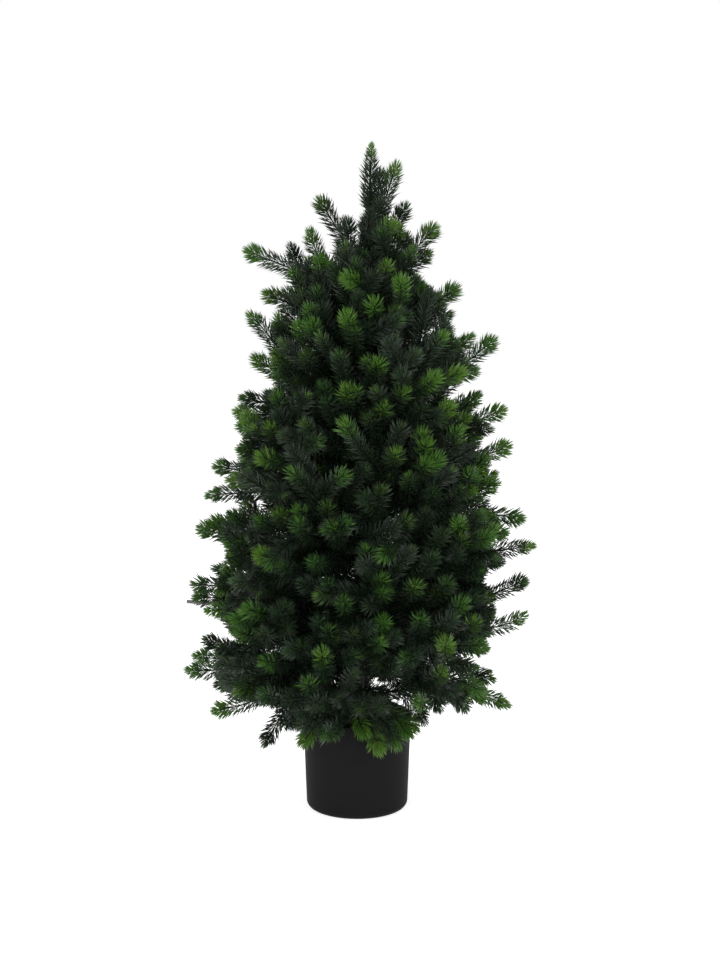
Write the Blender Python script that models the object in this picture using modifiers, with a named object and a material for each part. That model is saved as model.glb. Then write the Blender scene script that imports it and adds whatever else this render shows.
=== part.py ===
"""Small artificial spruce in a weighted plastic pot.

A leaning pole stands in a cement-filled pot. Boughs leave the pole on a golden-angle
spiral and each carries one mass of moulded needles: a stem with side shoots, every one
a slim core whose faces are drawn out into needle tufts. Metres, +Z up, the origin in
the middle of the pot's flat underside.
"""

import math
import random

import bmesh
import bpy
import numpy as np
from mathutils import Vector

# --- pot and filling -------------------------------------------------------------
POT_HEIGHT = 0.130
POT_RIM_RADIUS = 0.0737
POT_BASE_RADIUS = 0.0690
POT_CORNER = 0.009
POT_WALL = 0.0030
RIM_ROUND = 0.0010
FILLING_TOP = 0.112
BORE_DEPTH = 0.090
ROUND_STEPS = 40

# --- trunk -----------------------------------------------------------------------
TREE_HEIGHT = 0.900
TRUNK_TOP = 0.800
TRUNK_FOOT_RADIUS = 0.0085
TRUNK_TOP_RADIUS = 0.0032
TRUNK_LEAN = 0.019
TRUNK_RINGS = 6

# --- crown: its outline as (radius, height), from the pot's rim round to the tip --
OUTLINE = (
    (0.086, 0.092),
    (0.130, 0.104),
    (0.195, 0.125),
    (0.222, 0.180),
    (0.232, 0.290),
    (0.220, 0.390),
    (0.194, 0.500),
    (0.162, 0.600),
    (0.134, 0.700),
    (0.100, 0.770),
    (0.058, 0.815),
    (0.020, 0.840),
)
# How far the crown's middle stands off to +X, as (height, offset).
SWAY = ((0.08, -0.030), (0.15, -0.012), (0.30, 0.000), (0.45, 0.006), (0.65, 0.014), (0.90, 0.018))
# The shoots that stand out of the crown to either side: the tip's x, y and z, and the rise.
# They stand in order, the widest apart first, and the first SOLID_SPRIGS are built.
SPRIGS = (
    (0.054, 0.006, 0.876, 72),
    (-0.130, -0.010, 0.083, -60),
    (0.229, 0.010, 0.396, -11),
    (-0.165, 0.015, 0.521, -5),
    (0.151, -0.020, 0.134, -58),
    (0.186, 0.000, 0.645, 45),
    (-0.150, -0.010, 0.761, 25),
    (-0.226, 0.010, 0.290, 5),
    (0.006, -0.092, 0.125, -70),
    (0.102, 0.020, 0.758, 32),
    (0.184, -0.020, 0.522, -4),
    (0.232, -0.015, 0.274, 38),
    (-0.177, 0.020, 0.402, 20),
    (-0.051, -0.006, 0.830, 63),
    (-0.199, 0.010, 0.164, -15),
    (-0.108, 0.020, 0.665, 30),
    (0.183, 0.010, 0.216, -10),
    (-0.080, -0.030, 0.134, -66),
    (0.192, -0.015, 0.454, 30),
    (0.012, 0.056, 0.806, 74),
    (-0.174, -0.020, 0.248, -5),
    (0.072, -0.092, 0.124, -66),
    (0.203, 0.015, 0.336, -14),
    (0.131, 0.015, 0.675, 18),
    (0.212, 0.000, 0.138, -24),
    (-0.090, 0.015, 0.770, 70),
    (-0.197, 0.010, 0.470, 5),
    (-0.143, 0.015, 0.619, 35),
    (-0.225, -0.015, 0.215, 12),
    (0.067, -0.012, 0.822, 62),
    (-0.179, -0.010, 0.350, 5),
    (0.169, 0.020, 0.570, 40),
    (-0.219, 0.010, 0.385, 10),
    (-0.159, -0.010, 0.565, 14),
    (-0.128, 0.010, 0.703, 20),
    (0.190, -0.010, 0.177, -18),
    (0.235, 0.020, 0.314, 25),
    (0.068, -0.020, 0.784, 70),
    (0.113, -0.020, 0.134, -70),
    (-0.205, -0.020, 0.433, -7),
    (-0.031, -0.092, 0.119, -66),
    (0.137, -0.010, 0.712, 32),
    (0.031, -0.092, 0.098, -76),
    (0.107, 0.010, 0.793, 48),
    (0.243, -0.010, 0.365, 9),
    (-0.064, 0.020, 0.790, 78),
    (0.164, -0.010, 0.601, 10),
    (0.203, 0.020, 0.547, 20),
    (-0.239, 0.010, 0.188, 5),
    (-0.146, -0.020, 0.679, 42),
    (-0.066, -0.092, 0.108, -62),
    (-0.200, 0.015, 0.330, 15),
    (0.207, -0.020, 0.505, 32),
    (0.158, 0.025, 0.648, 48),
    (-0.200, -0.020, 0.137, -6),
    (0.204, -0.030, 0.386, 2),
    (-0.163, -0.015, 0.496, 10),
    (-0.013, -0.048, 0.804, 84),
    (-0.177, -0.025, 0.456, 5),
    (-0.169, 0.015, 0.544, 10),
    (0.033, 0.020, 0.867, 78),
    (0.057, -0.092, 0.107, -74),
    (-0.227, -0.010, 0.312, 8),
    (-0.207, -0.030, 0.279, 0),
    (0.182, -0.020, 0.158, -5),
    (-0.214, 0.020, 0.231, 26),
    (0.128, -0.020, 0.657, 35),
    (-0.205, 0.015, 0.393, 5),
    (0.058, -0.040, 0.795, 56),
    (0.192, 0.015, 0.462, 30),
)
SOLID_SPRIGS = 58
# The shoots that stand out of the crown's front, on the upright plane through the trunk: the
# tip's x and z, its slant in that plane, how far it turns to -Y, and how fresh it is, 0 to 1.
FRONTS = (
    (0.052, 0.799, 38, 25, 1),
    (0.177, 0.157, 340, 36, 1),
    (-0.137, 0.403, 130, 46, 1),
    (0.158, 0.467, 65, 46, 1),
    (-0.071, 0.177, 110, 51, 1),
    (-0.013, 0.582, 88, 41, 1),
    (0.027, 0.342, 205, 41, 1),
    (-0.089, 0.735, 120, 30, 1),
    (-0.152, 0.544, 120, 41, 1),
    (-0.176, 0.261, 175, 30, 1),
    (0.147, 0.601, 30, 25, 1),
    (0.149, 0.290, 65, 41, 1),
    (-0.009, 0.460, 20, 46, 1),
    (0.021, 0.696, 100, 46, 1),
    (0.187, 0.375, 20, 35, 1),
    (-0.061, 0.343, 120, 61, 1),
    (-0.169, 0.163, 170, 36, 0.9),
    (-0.094, 0.468, 140, 30, 1),
    (0.083, 0.146, 150, 46, 0.9),
    (0.074, 0.402, 45, 41, 1),
    (0.056, 0.495, 65, 46, 1),
    (-0.065, 0.669, 115, 38, 1),
    (0.177, 0.227, 20, 36, 1),
    (-0.018, 0.292, 90, 46, 1),
    (0.081, 0.311, 80, 56, 1),
    (0.141, 0.526, 60, 36, 1),
    (-0.045, 0.507, 25, 46, 1),
    (-0.010, 0.401, 60, 41, 1),
    (0.137, 0.402, 95, 41, 1),
    (0.122, 0.234, 90, 51, 1),
    (0.029, 0.617, 85, 46, 1),
    (-0.133, 0.204, 150, 46, 1),
    (-0.084, 0.400, 112, 41, 1),
    (-0.022, 0.727, 155, 35, 1),
    (0.038, 0.234, 50, 46, 0.8),
    (-0.139, 0.352, 150, 46, 1),
    (-0.111, 0.571, 110, 46, 1),
    (-0.050, 0.220, 100, 41, 1),
    (0.036, 0.445, 75, 41, 1),
    (-0.137, 0.488, 150, 30, 1),
    (0.055, 0.727, 108, 36, 1),
    (0.114, 0.489, 58, 30, 1),
    (-0.017, 0.681, 110, 36, 1),
    (0.075, 0.766, 75, 36, 1),
    (-0.051, 0.754, 100, 35, 1),
    (0.128, 0.560, 62, 35, 1),
    (-0.023, 0.536, 122, 30, 1),
    (0.113, 0.596, 45, 30, 1),
    (0.121, 0.192, 60, 41, 0.9),
    (0.166, 0.262, 55, 41, 1),
    (-0.136, 0.158, 150, 46, 0.9),
    (0.036, 0.558, 90, 46, 0.7),
    (-0.036, 0.395, 110, 46, 1),
    (-0.105, 0.412, 90, 51, 1),
    (0.144, 0.379, 75, 46, 1),
    (0.035, 0.262, 90, 56, 0.9),
    (-0.159, 0.276, 165, 30, 1),
    (0.088, 0.266, 80, 56, 0.7),
    (0.067, 0.578, 60, 46, 0.7),
    (0.103, 0.441, 90, 56, 0.6),
    (0.097, 0.508, 70, 46, 0.8),
    (0.039, 0.321, 60, 51, 0.8),
    (-0.099, 0.285, 90, 46, 0.5),
    (0.004, 0.211, 30, 51, 0.6),
    (0.162, 0.438, 10, 46, 0.7),
    (-0.048, 0.198, 100, 56, 0.8),
    (-0.123, 0.329, 240, 46, 0.7),
    (-0.078, 0.667, 100, 41, 1),
    (-0.118, 0.531, 100, 46, 0.6),
    (0.011, 0.363, 100, 46, 0.7),
    (-0.040, 0.565, 90, 51, 0.6),
    (-0.041, 0.314, 90, 56, 0.6),
    (-0.078, 0.228, 100, 51, 0.6),
    (0.067, 0.212, 90, 51, 0.5),
    (0.104, 0.355, 80, 46, 0.4),
    (-0.024, 0.627, 95, 46, 0.4),
    (-0.053, 0.264, 100, 46, 0.4),
    (-0.070, 0.627, 105, 46, 0.4),
    (0.089, 0.522, 80, 46, 0.6),
    (-0.054, 0.711, 100, 46, 0.4),
    (0.054, 0.684, 80, 46, 0.4),
    (0.127, 0.317, 70, 46, 0.4),
    (0.008, 0.247, 80, 46, 0.4),
    (-0.040, 0.422, 90, 46, 0.4),
    (-0.045, 0.584, 90, 46, 0.4),
    (-0.038, 0.253, 90, 46, 0.4),
)
SOLID_FRONTS = 38
FRONT_SPACING = 0.015
PLACED_SHIFTS = (0.0, 0.012, -0.012, 0.024, -0.024, 0.036, -0.036)
# The crown's sides as the front view shows them: height, and the least and greatest x.
SIDES = (
    (0.080, -0.070, 0.067),
    (0.095, -0.085, 0.071),
    (0.110, -0.095, 0.079),
    (0.125, -0.085, 0.082),
    (0.140, -0.105, 0.115),
    (0.150, -0.178, 0.165),
    (0.180, -0.200, 0.174),
    (0.210, -0.200, 0.160),
    (0.250, -0.174, 0.192),
    (0.290, -0.197, 0.191),
    (0.320, -0.190, 0.168),
    (0.350, -0.177, 0.192),
    (0.390, -0.185, 0.200),
    (0.430, -0.168, 0.170),
    (0.490, -0.158, 0.180),
    (0.550, -0.154, 0.162),
    (0.580, -0.118, 0.141),
    (0.620, -0.115, 0.155),
    (0.660, -0.120, 0.123),
    (0.700, -0.105, 0.118),
    (0.730, -0.090, 0.078),
    (0.760, -0.078, 0.084),
    (0.772, -0.054, 0.068),
    (0.785, -0.026, 0.048),
    (0.795, -0.002, 0.038),
    (0.810, 0.012, 0.034),
    (0.840, 0.013, 0.030),
)
VIEWPOINT = (0.004, -2.40, 0.80)
HEART = (0.0, 0.0, 0.40)
# The rise of a shoot above level, in degrees, by the height of its tip.
SHOOT_RISE = ((0.085, -56), (0.13, -18), (0.20, 2), (0.35, 14), (0.55, 28), (0.72, 46), (0.84, 68))
# The rise of a bough where it leaves the trunk, in degrees, by that height.
BOUGH_RISE = ((0.15, -16), (0.20, 0), (0.30, 12), (0.50, 26), (0.66, 44), (0.76, 58))

# --- boughs and masses -------------------------------------------------------------
MASSES = 36
BARE_BOUGHS = 18
LOWEST_BOUGH = 0.150
HIGHEST_BOUGH = 0.738
FIRST_TURN = 2.1
GOLDEN_TURN = math.pi * (3 - math.sqrt(5))
BOUGH_RADIUS = 0.0026
BOUGH_TIP_RADIUS = 0.0019
BARE_SHARE = 0.20
UPTURN = math.radians(14)
FURTHER_SHOOTS = 62
SHOOT_DEPTHS = (1.0, 0.97, 0.94, 0.86, 0.50)
SEED = 7

# --- shoots --------------------------------------------------------------------------
TWIG_RADIUS = 0.0018
CORE_RADIUS = 0.0040
SHOOT_LENGTH = 0.082
NEEDLE_LENGTH = 0.026
NEEDLE_ANGLE = math.radians(50)
BODY_ANGLE = math.radians(62)
END_ANGLE = math.radians(20)
SHOOT_BANDS = 2
# A stem's body, as (share of its length, radius), before its needled end.
STEM_BODY = ((0.12, 0.013), (0.30, 0.021), (0.50, 0.021), (0.70, 0.012))
STEM_BANDS = 2

# --- clearances ----------------------------------------------------------------------
JOINT_GAP = 0.0003
LIMB_GAP = 0.0015
SPACE_GAP = 0.0011
SHARE_GAP = 0.002
SAMPLE_STEP = 0.004


# --- small helpers ---------------------------------------------------------------------
def clear_scene():
    """Removes whatever the file opened with."""
    for obj in list(bpy.data.objects):
        bpy.data.objects.remove(obj)


def material(name, colour, roughness):
    """A plain finish: base colour and roughness on one Principled shader."""
    made = bpy.data.materials.new(name)
    made.use_nodes = True
    shader = made.node_tree.nodes["Principled BSDF"]
    shader.inputs["Base Color"].default_value = (*colour, 1.0)
    shader.inputs["Roughness"].default_value = roughness
    return made


def between(table, x):
    """The value at x on a table of (x, value) pairs."""
    return float(np.interp(x, [row[0] for row in table], [row[1] for row in table]))


def object_of(name, mesh, finish, collection):
    """A mesh object with one finish, linked to a collection."""
    obj = bpy.data.objects.new(name, mesh)
    mesh.materials.append(finish)
    collection.objects.link(obj)
    return obj


def bezier(start, control, end, steps):
    """Points along a quadratic curve."""
    shares = [i / steps for i in range(steps + 1)]
    return [start * (1 - s) ** 2 + control * 2 * s * (1 - s) + end * s * s for s in shares]


def length_of(path):
    return sum((b - a).length for a, b in zip(path, path[1:]))


def point_at(path, distance):
    """The point that lies this far along a path, and the path's direction there."""
    for a, b in zip(path, path[1:]):
        step = (b - a).length
        if distance <= step or b is path[-1]:
            return a + (b - a) * (distance / step), (b - a).normalized()
        distance -= step


def cut_path(path, start, end, steps):
    """The part of a path from start to end, as distances along it, in equal steps."""
    return [point_at(path, start + (end - start) * i / steps)[0] for i in range(steps + 1)]


# --- pot, filling and trunk --------------------------------------------------------------
def turned(name, profile, finish, collection):
    """A solid turned about Z by a Screw modifier from (radius, height) points."""
    mesh = bpy.data.meshes.new(name)
    edges = [(i, i + 1) for i in range(len(profile) - 1)]
    mesh.from_pydata([(r, 0, z) for r, z in profile], edges, [])
    obj = object_of(name, mesh, finish, collection)
    screw = obj.modifiers.new("turn", "SCREW")
    screw.steps = screw.render_steps = ROUND_STEPS
    screw.use_merge_vertices = True
    screw.merge_threshold = 0.00005
    screw.use_smooth_shade = True
    return obj


def pot_radius(height):
    """The pot's outer radius at a height on its tapered wall."""
    return POT_BASE_RADIUS + (POT_RIM_RADIUS - POT_BASE_RADIUS) * height / POT_HEIGHT


def make_pot(finish, collection):
    """A tapered cup with a rounded foot and rim, from the inside of its floor to its underside."""
    corner = [
        (
            pot_radius(POT_CORNER) - POT_CORNER * (1 - math.cos(turn)),
            POT_CORNER * (1 - math.sin(turn)),
        )
        for turn in (math.radians(a) for a in (0, 45, 90))
    ]
    rim = POT_RIM_RADIUS
    profile = [
        (0, POT_WALL),
        (POT_BASE_RADIUS - POT_CORNER, POT_WALL),
        (pot_radius(POT_CORNER) - POT_WALL, POT_CORNER),
        (rim - POT_WALL, POT_HEIGHT),
        (rim - RIM_ROUND, POT_HEIGHT),
        (rim, POT_HEIGHT - RIM_ROUND),
        *corner,
        (0, 0),
    ]
    return turned("pot", profile, finish, collection)


def make_filling(finish, collection):
    """The cement that weights the pot, with a blind bore for the trunk's foot."""
    wall = POT_WALL + JOINT_GAP
    bore = TRUNK_FOOT_RADIUS + 1.3 * JOINT_GAP
    profile = [
        (0, FILLING_TOP - BORE_DEPTH),
        (bore, FILLING_TOP - BORE_DEPTH),
        (bore, FILLING_TOP),
        (pot_radius(FILLING_TOP) - wall - JOINT_GAP, FILLING_TOP),
        (pot_radius(POT_CORNER) - wall - JOINT_GAP, POT_CORNER + JOINT_GAP),
        (POT_BASE_RADIUS - POT_CORNER - JOINT_GAP, wall),
        (0, wall),
    ]
    return turned("pot_filling", profile, finish, collection)


def trunk_point(height):
    """The middle of the trunk at a height: upright in the pot, then leaning to +X."""
    rise = max(0.0, height - FILLING_TOP) / (TREE_HEIGHT - FILLING_TOP)
    return Vector((TRUNK_LEAN * rise**1.15, 0.0, height))


def trunk_radius(height):
    share = (height - FILLING_TOP) / (TRUNK_TOP - FILLING_TOP)
    return TRUNK_FOOT_RADIUS + (TRUNK_TOP_RADIUS - TRUNK_FOOT_RADIUS) * min(1.0, max(0.0, share))


def tube(name, path, radii, finish, collection, sides):
    """A tapered rod: a poly curve with a round bevel, filled caps and a radius at each point."""
    curve = bpy.data.curves.new(name, "CURVE")
    curve.dimensions = "3D"
    curve.bevel_depth = 1.0
    curve.bevel_resolution = sides // 2 - 2
    curve.use_fill_caps = True
    spline = curve.splines.new("POLY")
    spline.points.add(len(path) - 1)
    for point, place, radius in zip(spline.points, path, radii):
        point.co = (*place, 1.0)
        point.radius = radius
    obj = bpy.data.objects.new(name, curve)
    curve.materials.append(finish)
    collection.objects.link(obj)
    return obj


def trunk_path():
    foot = FILLING_TOP - BORE_DEPTH + JOINT_GAP
    rises = [i / TRUNK_RINGS for i in range(TRUNK_RINGS + 1)]
    heights = [foot] + [FILLING_TOP + (TRUNK_TOP - FILLING_TOP) * s for s in rises]
    return [trunk_point(z) for z in heights]


def make_trunk(finish, collection):
    path = trunk_path()
    return tube("trunk", path, [trunk_radius(p.z) for p in path], finish, collection, 12)


# --- the crown's outline --------------------------------------------------------------------
def outline_shares():
    """For each outline point, the share of the crown's surface that lies before it."""
    areas = [0.0]
    for (r0, z0), (r1, z1) in zip(OUTLINE, OUTLINE[1:]):
        areas.append(areas[-1] + (r0 + r1) / 2 * math.hypot(r1 - r0, z1 - z0))
    return [a / areas[-1] for a in areas]


def outline_at(share):
    """(radius, height) on the outline with this share of the surface before it."""
    shares = outline_shares()
    radius = float(np.interp(share, shares, [r for r, _ in OUTLINE]))
    return radius, float(np.interp(share, shares, [z for _, z in OUTLINE]))


def crown_point(radius, azimuth, height):
    """A point of the crown by its distance from the crown's middle, which sways with height."""
    middle = between(SWAY, height)
    return Vector((middle + radius * math.cos(azimuth), radius * math.sin(azimuth), height))


def inside_outline(point, depth=1.0):
    """True if the point is within the crown's side wall, or within a share of its radius."""
    walls = [(z, r) for r, z in OUTLINE]
    reach = math.hypot(point.x - between(SWAY, point.z), point.y)
    return reach < depth * between(walls, point.z)


def seen(point):
    """Where a point is seen from the front, on the upright plane through the trunk."""
    eye = Vector(VIEWPOINT)
    return eye + (point - eye) * (-eye.y / (point.y - eye.y))


def in_sight(point):
    """True if a point is seen inside the front view's sides."""
    spot = seen(point)
    left = between([(z, low) for z, low, _ in SIDES], spot.z)
    right = between([(z, high) for z, _, high in SIDES], spot.z)
    return left < spot.x < right and spot.z > SIDES[0][0]


def drawn_in(tip):
    """Draws a tip towards the crown's heart until it is seen inside the front view's sides."""
    for _ in range(30):
        if in_sight(tip):
            break
        tip = tip.lerp(Vector(HEART), 0.03)
    return tip


def on_front(x, z, depth):
    """The crown's surface where it is seen at a spot of the upright plane through the trunk."""
    eye, spot = Vector(VIEWPOINT), Vector((x, 0, z))
    share = 0.88
    while share < 0.995 and not inside_outline(eye + (spot - eye) * share, depth):
        share += 0.002
    return eye + (spot - eye) * share


def near_front(tip):
    """True if a tip is seen close to a front shoot's tip."""
    spot = seen(tip)
    if tip.y >= 0:
        return False
    return any(math.hypot(spot.x - x, spot.z - z) < FRONT_SPACING for x, z, *_ in FRONTS)


def heading(azimuth, rise):
    """A direction by its azimuth and its rise above level."""
    level = math.cos(rise)
    return Vector((level * math.cos(azimuth), level * math.sin(azimuth), math.sin(rise)))


# --- the plan of boughs and shoots ------------------------------------------------------------
class Space:
    """The rods planned so far, as sample points with a radius, a mass's number and a rod's."""

    def __init__(self):
        self.points = np.zeros((0, 3))
        self.radii = np.zeros(0)
        self.owners = np.zeros(0, int)
        self.rods = np.zeros(0, int)

    def add(self, path, radius, owner):
        """Notes a rod along a path; returns the rod's number."""
        steps = max(2, round(length_of(path) / SAMPLE_STEP))
        found = np.array(cut_path(path, 0, length_of(path), steps))
        rod = int(self.rods[-1]) + 1 if len(self.rods) else 0
        self.points = np.vstack([self.points, found])
        self.radii = np.append(self.radii, np.full(len(found), radius))
        self.owners = np.append(self.owners, np.full(len(found), owner))
        self.rods = np.append(self.rods, np.full(len(found), rod))
        return rod

    def gap(self, path, radius, owner):
        """The least gap from a rod along the path to anything of another owner."""
        steps = max(2, round(length_of(path) / SAMPLE_STEP))
        mine = np.array(cut_path(path, 0, length_of(path), steps))
        other = self.owners != owner
        apart = np.linalg.norm(mine[:, None] - self.points[other][None], axis=2)
        return float((apart - self.radii[other]).min()) - radius

    def holds(self, point, owner, rod=None):
        """True if the point is nearer to its own mass than to any other mass or limb and, where
        its rod is given, not much nearer to another rod of its mass."""
        apart = np.linalg.norm(self.points - np.array(point), axis=1)
        own = self.owners == owner
        others = ~own
        near = apart[own].min()
        if near + SPACE_GAP > apart[others].min():
            return False
        if (apart - self.radii)[others].min() < LIMB_GAP:
            return False
        return rod is None or apart[self.rods == rod].min() < near + SHARE_GAP


TRUNK_OWNER = -1
POT_OWNER = -2


def bough_plan(number):
    """The whole axis of one branch, from the trunk's surface to the crown's outline."""
    share = (number + 0.5) / MASSES
    low, high = LOWEST_BOUGH, HIGHEST_BOUGH
    height = low + (high - low) * share**1.12
    azimuth = FIRST_TURN + number * GOLDEN_TURN
    rise = math.radians(between(BOUGH_RISE, height))
    foot = BOUGH_RADIUS if number < BARE_BOUGHS else BOUGH_TIP_RADIUS
    stand_off = trunk_radius(height) + JOINT_GAP + foot * abs(math.sin(rise))
    start = trunk_point(height) + heading(azimuth, 0) * stand_off
    ahead = heading(azimuth, rise)
    reach = 0.02
    out = heading(azimuth, rise + UPTURN / 2)
    while inside_outline(start + out * (reach + NEEDLE_LENGTH / 3)) and in_sight(start + out * reach):
        reach += 0.002
    end = start + out * reach
    return bezier(start, start + ahead * reach / 2, end, 12)


def shoot_target(number, rng):
    """Where a side shoot ends and the way it points: the sprigs, the front shoots, then an even
    spread over the crown's surface that keeps a little back where the sprigs stand."""
    if number < SOLID_SPRIGS:
        x, y, z, rise = SPRIGS[number]
        azimuth = math.atan2(y, x - between(SWAY, z))
        return Vector((x, y, z)), heading(azimuth, math.radians(rise))
    number -= SOLID_SPRIGS
    if number < SOLID_FRONTS:
        x, z, slant, toward, strength = FRONTS[number]
        level, toward = math.radians(slant), math.radians(toward)
        ahead = Vector((math.cos(level) * math.cos(toward), -math.sin(toward), 0))
        ahead.z = math.sin(level) * math.cos(toward)
        return on_front(x, z, 0.93 + 0.05 * strength), ahead
    number -= SOLID_FRONTS
    even = 0.5 + number * 0.7548776662
    turn = 0.5 + number * 0.5698402910
    radius, height = outline_at(even % 1.0)
    azimuth = 2 * math.pi * (turn % 1.0)
    depth = rng.choice(SHOOT_DEPTHS) * (1 - 0.07 * abs(math.cos(azimuth)) ** 3)
    rise = between(SHOOT_RISE, height) + rng.uniform(-24, 28)
    swing = math.radians(rng.uniform(-52, 52))
    tip = drawn_in(crown_point(radius * depth, azimuth, height))
    return tip, heading(azimuth + swing, math.radians(rise))


def shoot_path(tip, ahead, stem):
    """A side shoot's axis: it leaves the stem at a forward slant and ends at tip, pointing ahead."""
    root_of_needles = tip - ahead * SHOOT_LENGTH
    total = length_of(stem)
    steps = [total * i / 40 for i in range(41)]
    apart = [(point_at(stem, d)[0] - root_of_needles).length for d in steps]
    nearest = min(range(41), key=apart.__getitem__)
    leave = max(0.008, min(0.88 * total, steps[nearest] - 0.8 * apart[nearest]))
    start = point_at(stem, leave)[0]
    span = (tip - start).length
    return bezier(start, tip - ahead * span * 0.55, tip, 10)


def find_place(tip, ahead, shifts, branches, space):
    """The path and the mass of a shoot that keeps clear of all else, or None. The nearest masses
    are tried, and for a shoot that has a set place also a little nearer or farther along Y."""
    middles = [point_at(b["stem"], 0.5 * length_of(b["stem"]))[0] for b in branches]
    for shift in shifts:
        moved = tip + Vector((0, shift, 0))
        base = moved - ahead * SHOOT_LENGTH
        order = sorted(range(len(branches)), key=lambda i: (middles[i] - base).length)
        for mass in order[:4]:
            path = shoot_path(moved, ahead, branches[mass]["stem"])
            if space.gap(path, CORE_RADIUS, mass) > LIMB_GAP:
                return path, mass
    return None


def plan_crown():
    """Every branch as {"bough", "stem", "shoots"}: paths of points. Also the space they take."""
    rng = random.Random(SEED)
    space = Space()
    space.add(trunk_path(), TRUNK_FOOT_RADIUS, TRUNK_OWNER)
    for turn in range(ROUND_STEPS):
        azimuth = 2 * math.pi * turn / ROUND_STEPS
        wall = [heading(azimuth, 0) * pot_radius(z) + Vector((0, 0, z)) for z in (0, POT_HEIGHT)]
        space.add(wall, 0.001, POT_OWNER)
    branches = []
    for number in range(MASSES):
        axis = bough_plan(number)
        total = length_of(axis)
        bare = BARE_SHARE * total if number < BARE_BOUGHS else 0.0
        bough = cut_path(axis, 0, bare, 2) if bare else None
        stem = cut_path(axis, bare + (JOINT_GAP if bare else 0), total, 12)
        branches.append({"bough": bough, "stem": stem, "shoots": []})
        if bough:
            space.add(bough, BOUGH_RADIUS, 1000 + number)
        branches[-1]["rod"] = space.add(stem, CORE_RADIUS, number)
    leader_foot = trunk_point(TRUNK_TOP + JOINT_GAP)
    leader = cut_path([leader_foot, trunk_point(TREE_HEIGHT)], 0, TREE_HEIGHT - leader_foot.z, 8)
    branches.append({"bough": None, "stem": leader, "shoots": []})
    branches[-1]["rod"] = space.add(leader, CORE_RADIUS, MASSES)
    placed = SOLID_SPRIGS + SOLID_FRONTS
    for number in range(placed + FURTHER_SHOOTS):
        tip, ahead = shoot_target(number, rng)
        if number >= placed and near_front(tip):
            continue
        shifts = PLACED_SHIFTS if number < placed else (0.0,)
        found = find_place(tip, ahead, shifts, branches, space)
        if found:
            path, mass = found
            branches[mass]["shoots"].append((path, space.add(path, CORE_RADIUS, mass)))
    return branches, space


# --- needles ---------------------------------------------------------------------------------
def frames(path):
    """At each point of a path, its direction and a side direction carried along without twist."""
    found = []
    side = (path[1] - path[0]).cross(Vector((0, 0, 1)))
    if side.length < 0.1 * (path[1] - path[0]).length:
        side = Vector((0, 1, 0))
    for i, point in enumerate(path):
        ahead = (path[min(i + 1, len(path) - 1)] - path[max(i - 1, 0)]).normalized()
        side = (side - ahead * side.dot(ahead)).normalized()
        found.append((point, ahead, side))
    return found


def held_radius(point, out, wanted, space, owner):
    """How far out a body may reach from a point of its axis in its own space."""
    for share in (1.0, 0.8, 0.6, 0.4):
        corner = point + out * wanted * share
        if space.holds(corner, owner) and space.holds((corner + point) / 2, owner):
            return wanted * share
    return min(wanted, CORE_RADIUS)


def needled_rod(path, radii, sides, needles_from, flat_foot, space, owner, rod):
    """A rod whose rings turn by half a side from one to the next. Each face past the ring
    needles_from is poked, and its new point is drawn out to the tip of a needle tuft."""
    mesh = bpy.data.meshes.new("shoot")
    shape = bmesh.new()
    places = frames(path)
    rings = []
    for i, ((point, ahead, side), radius) in enumerate(zip(places[:-1], radii)):
        over = ahead.cross(side)
        ring = []
        for corner in range(sides):
            angle = math.pi / sides * (i + 2 * corner)
            out = side * math.cos(angle) + over * math.sin(angle)
            reach = radius
            if radius > CORE_RADIUS:
                reach = held_radius(point, out, radius, space, owner)
            ring.append(shape.verts.new(point + out * reach))
        rings.append(ring)
    end = shape.verts.new(places[-1][0])
    if flat_foot:
        shape.faces.new(rings[0][::-1])
    else:
        foot = shape.verts.new(path[0] - (path[1] - path[0]).normalized() * 0.002)
        for j in range(sides):
            shape.faces.new((rings[0][(j + 1) % sides], rings[0][j], foot))
    tufts = []
    for i, (lower, upper) in enumerate(zip(rings, rings[1:])):
        for j in range(sides):
            k = (j + 1) % sides
            pair = (
                shape.faces.new((lower[j], lower[k], upper[j])),
                shape.faces.new((upper[j], lower[k], upper[k])),
            )
            if i >= needles_from:
                share = (i - needles_from) / max(1, len(rings) - 2 - needles_from)
                tufts += [(face, i, NEEDLE_ANGLE - share * math.radians(10), 1.0) for face in pair]
            elif i:
                tufts.append((pair[(i + j) % 2], i, BODY_ANGLE, 0.9))
    for j in range(sides):
        face = shape.faces.new((rings[-1][j], rings[-1][(j + 1) % sides], end))
        tufts.append((face, len(rings) - 1, END_ANGLE, 0.72))
    for face, i, angle, size in tufts:
        point, ahead, _ = places[i]
        middle = face.calc_center_median()
        out = middle - point
        out = (out - ahead * out.dot(ahead)).normalized()
        lean = ahead * math.cos(angle) + out * math.sin(angle)
        for share in (1.0, 0.8, 0.6, 0.4):
            tip = middle + lean * NEEDLE_LENGTH * size * share
            if space.holds(tip, owner, rod) and space.holds((tip + middle) / 2, owner):
                bmesh.ops.poke(shape, faces=[face])["verts"][0].co = tip
                break
    shape.normal_update()
    shape.to_mesh(mesh)
    shape.free()
    return mesh


def stem_rod(stem, rod, space, owner, slim):
    """The mass's own stem: a slim foot, a body that is stout unless slim, and a needled end."""
    total = length_of(stem)
    end = total - NEEDLE_LENGTH * 0.6
    marks = [0.0, 0.006] + [end * share for share, _ in STEM_BODY]
    stoutness = 0.0 if slim else min(1.0, total / 0.150)
    radii = [BOUGH_TIP_RADIUS] * 2
    radii += [max(CORE_RADIUS, radius * stoutness) for _, radius in STEM_BODY]
    last = marks[-1]
    for i in range(STEM_BANDS):
        marks.append(last + (end - last) * (i + 1) / STEM_BANDS)
        radii.append(CORE_RADIUS)
    path = [point_at(stem, d)[0] for d in marks]
    tip = point_at(stem, end)
    path.append(tip[0] + tip[1] * 0.006)
    needles_from = 1 if slim else len(STEM_BODY) + 1
    return needled_rod(path, radii, 4, needles_from, True, space, owner, rod)


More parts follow.
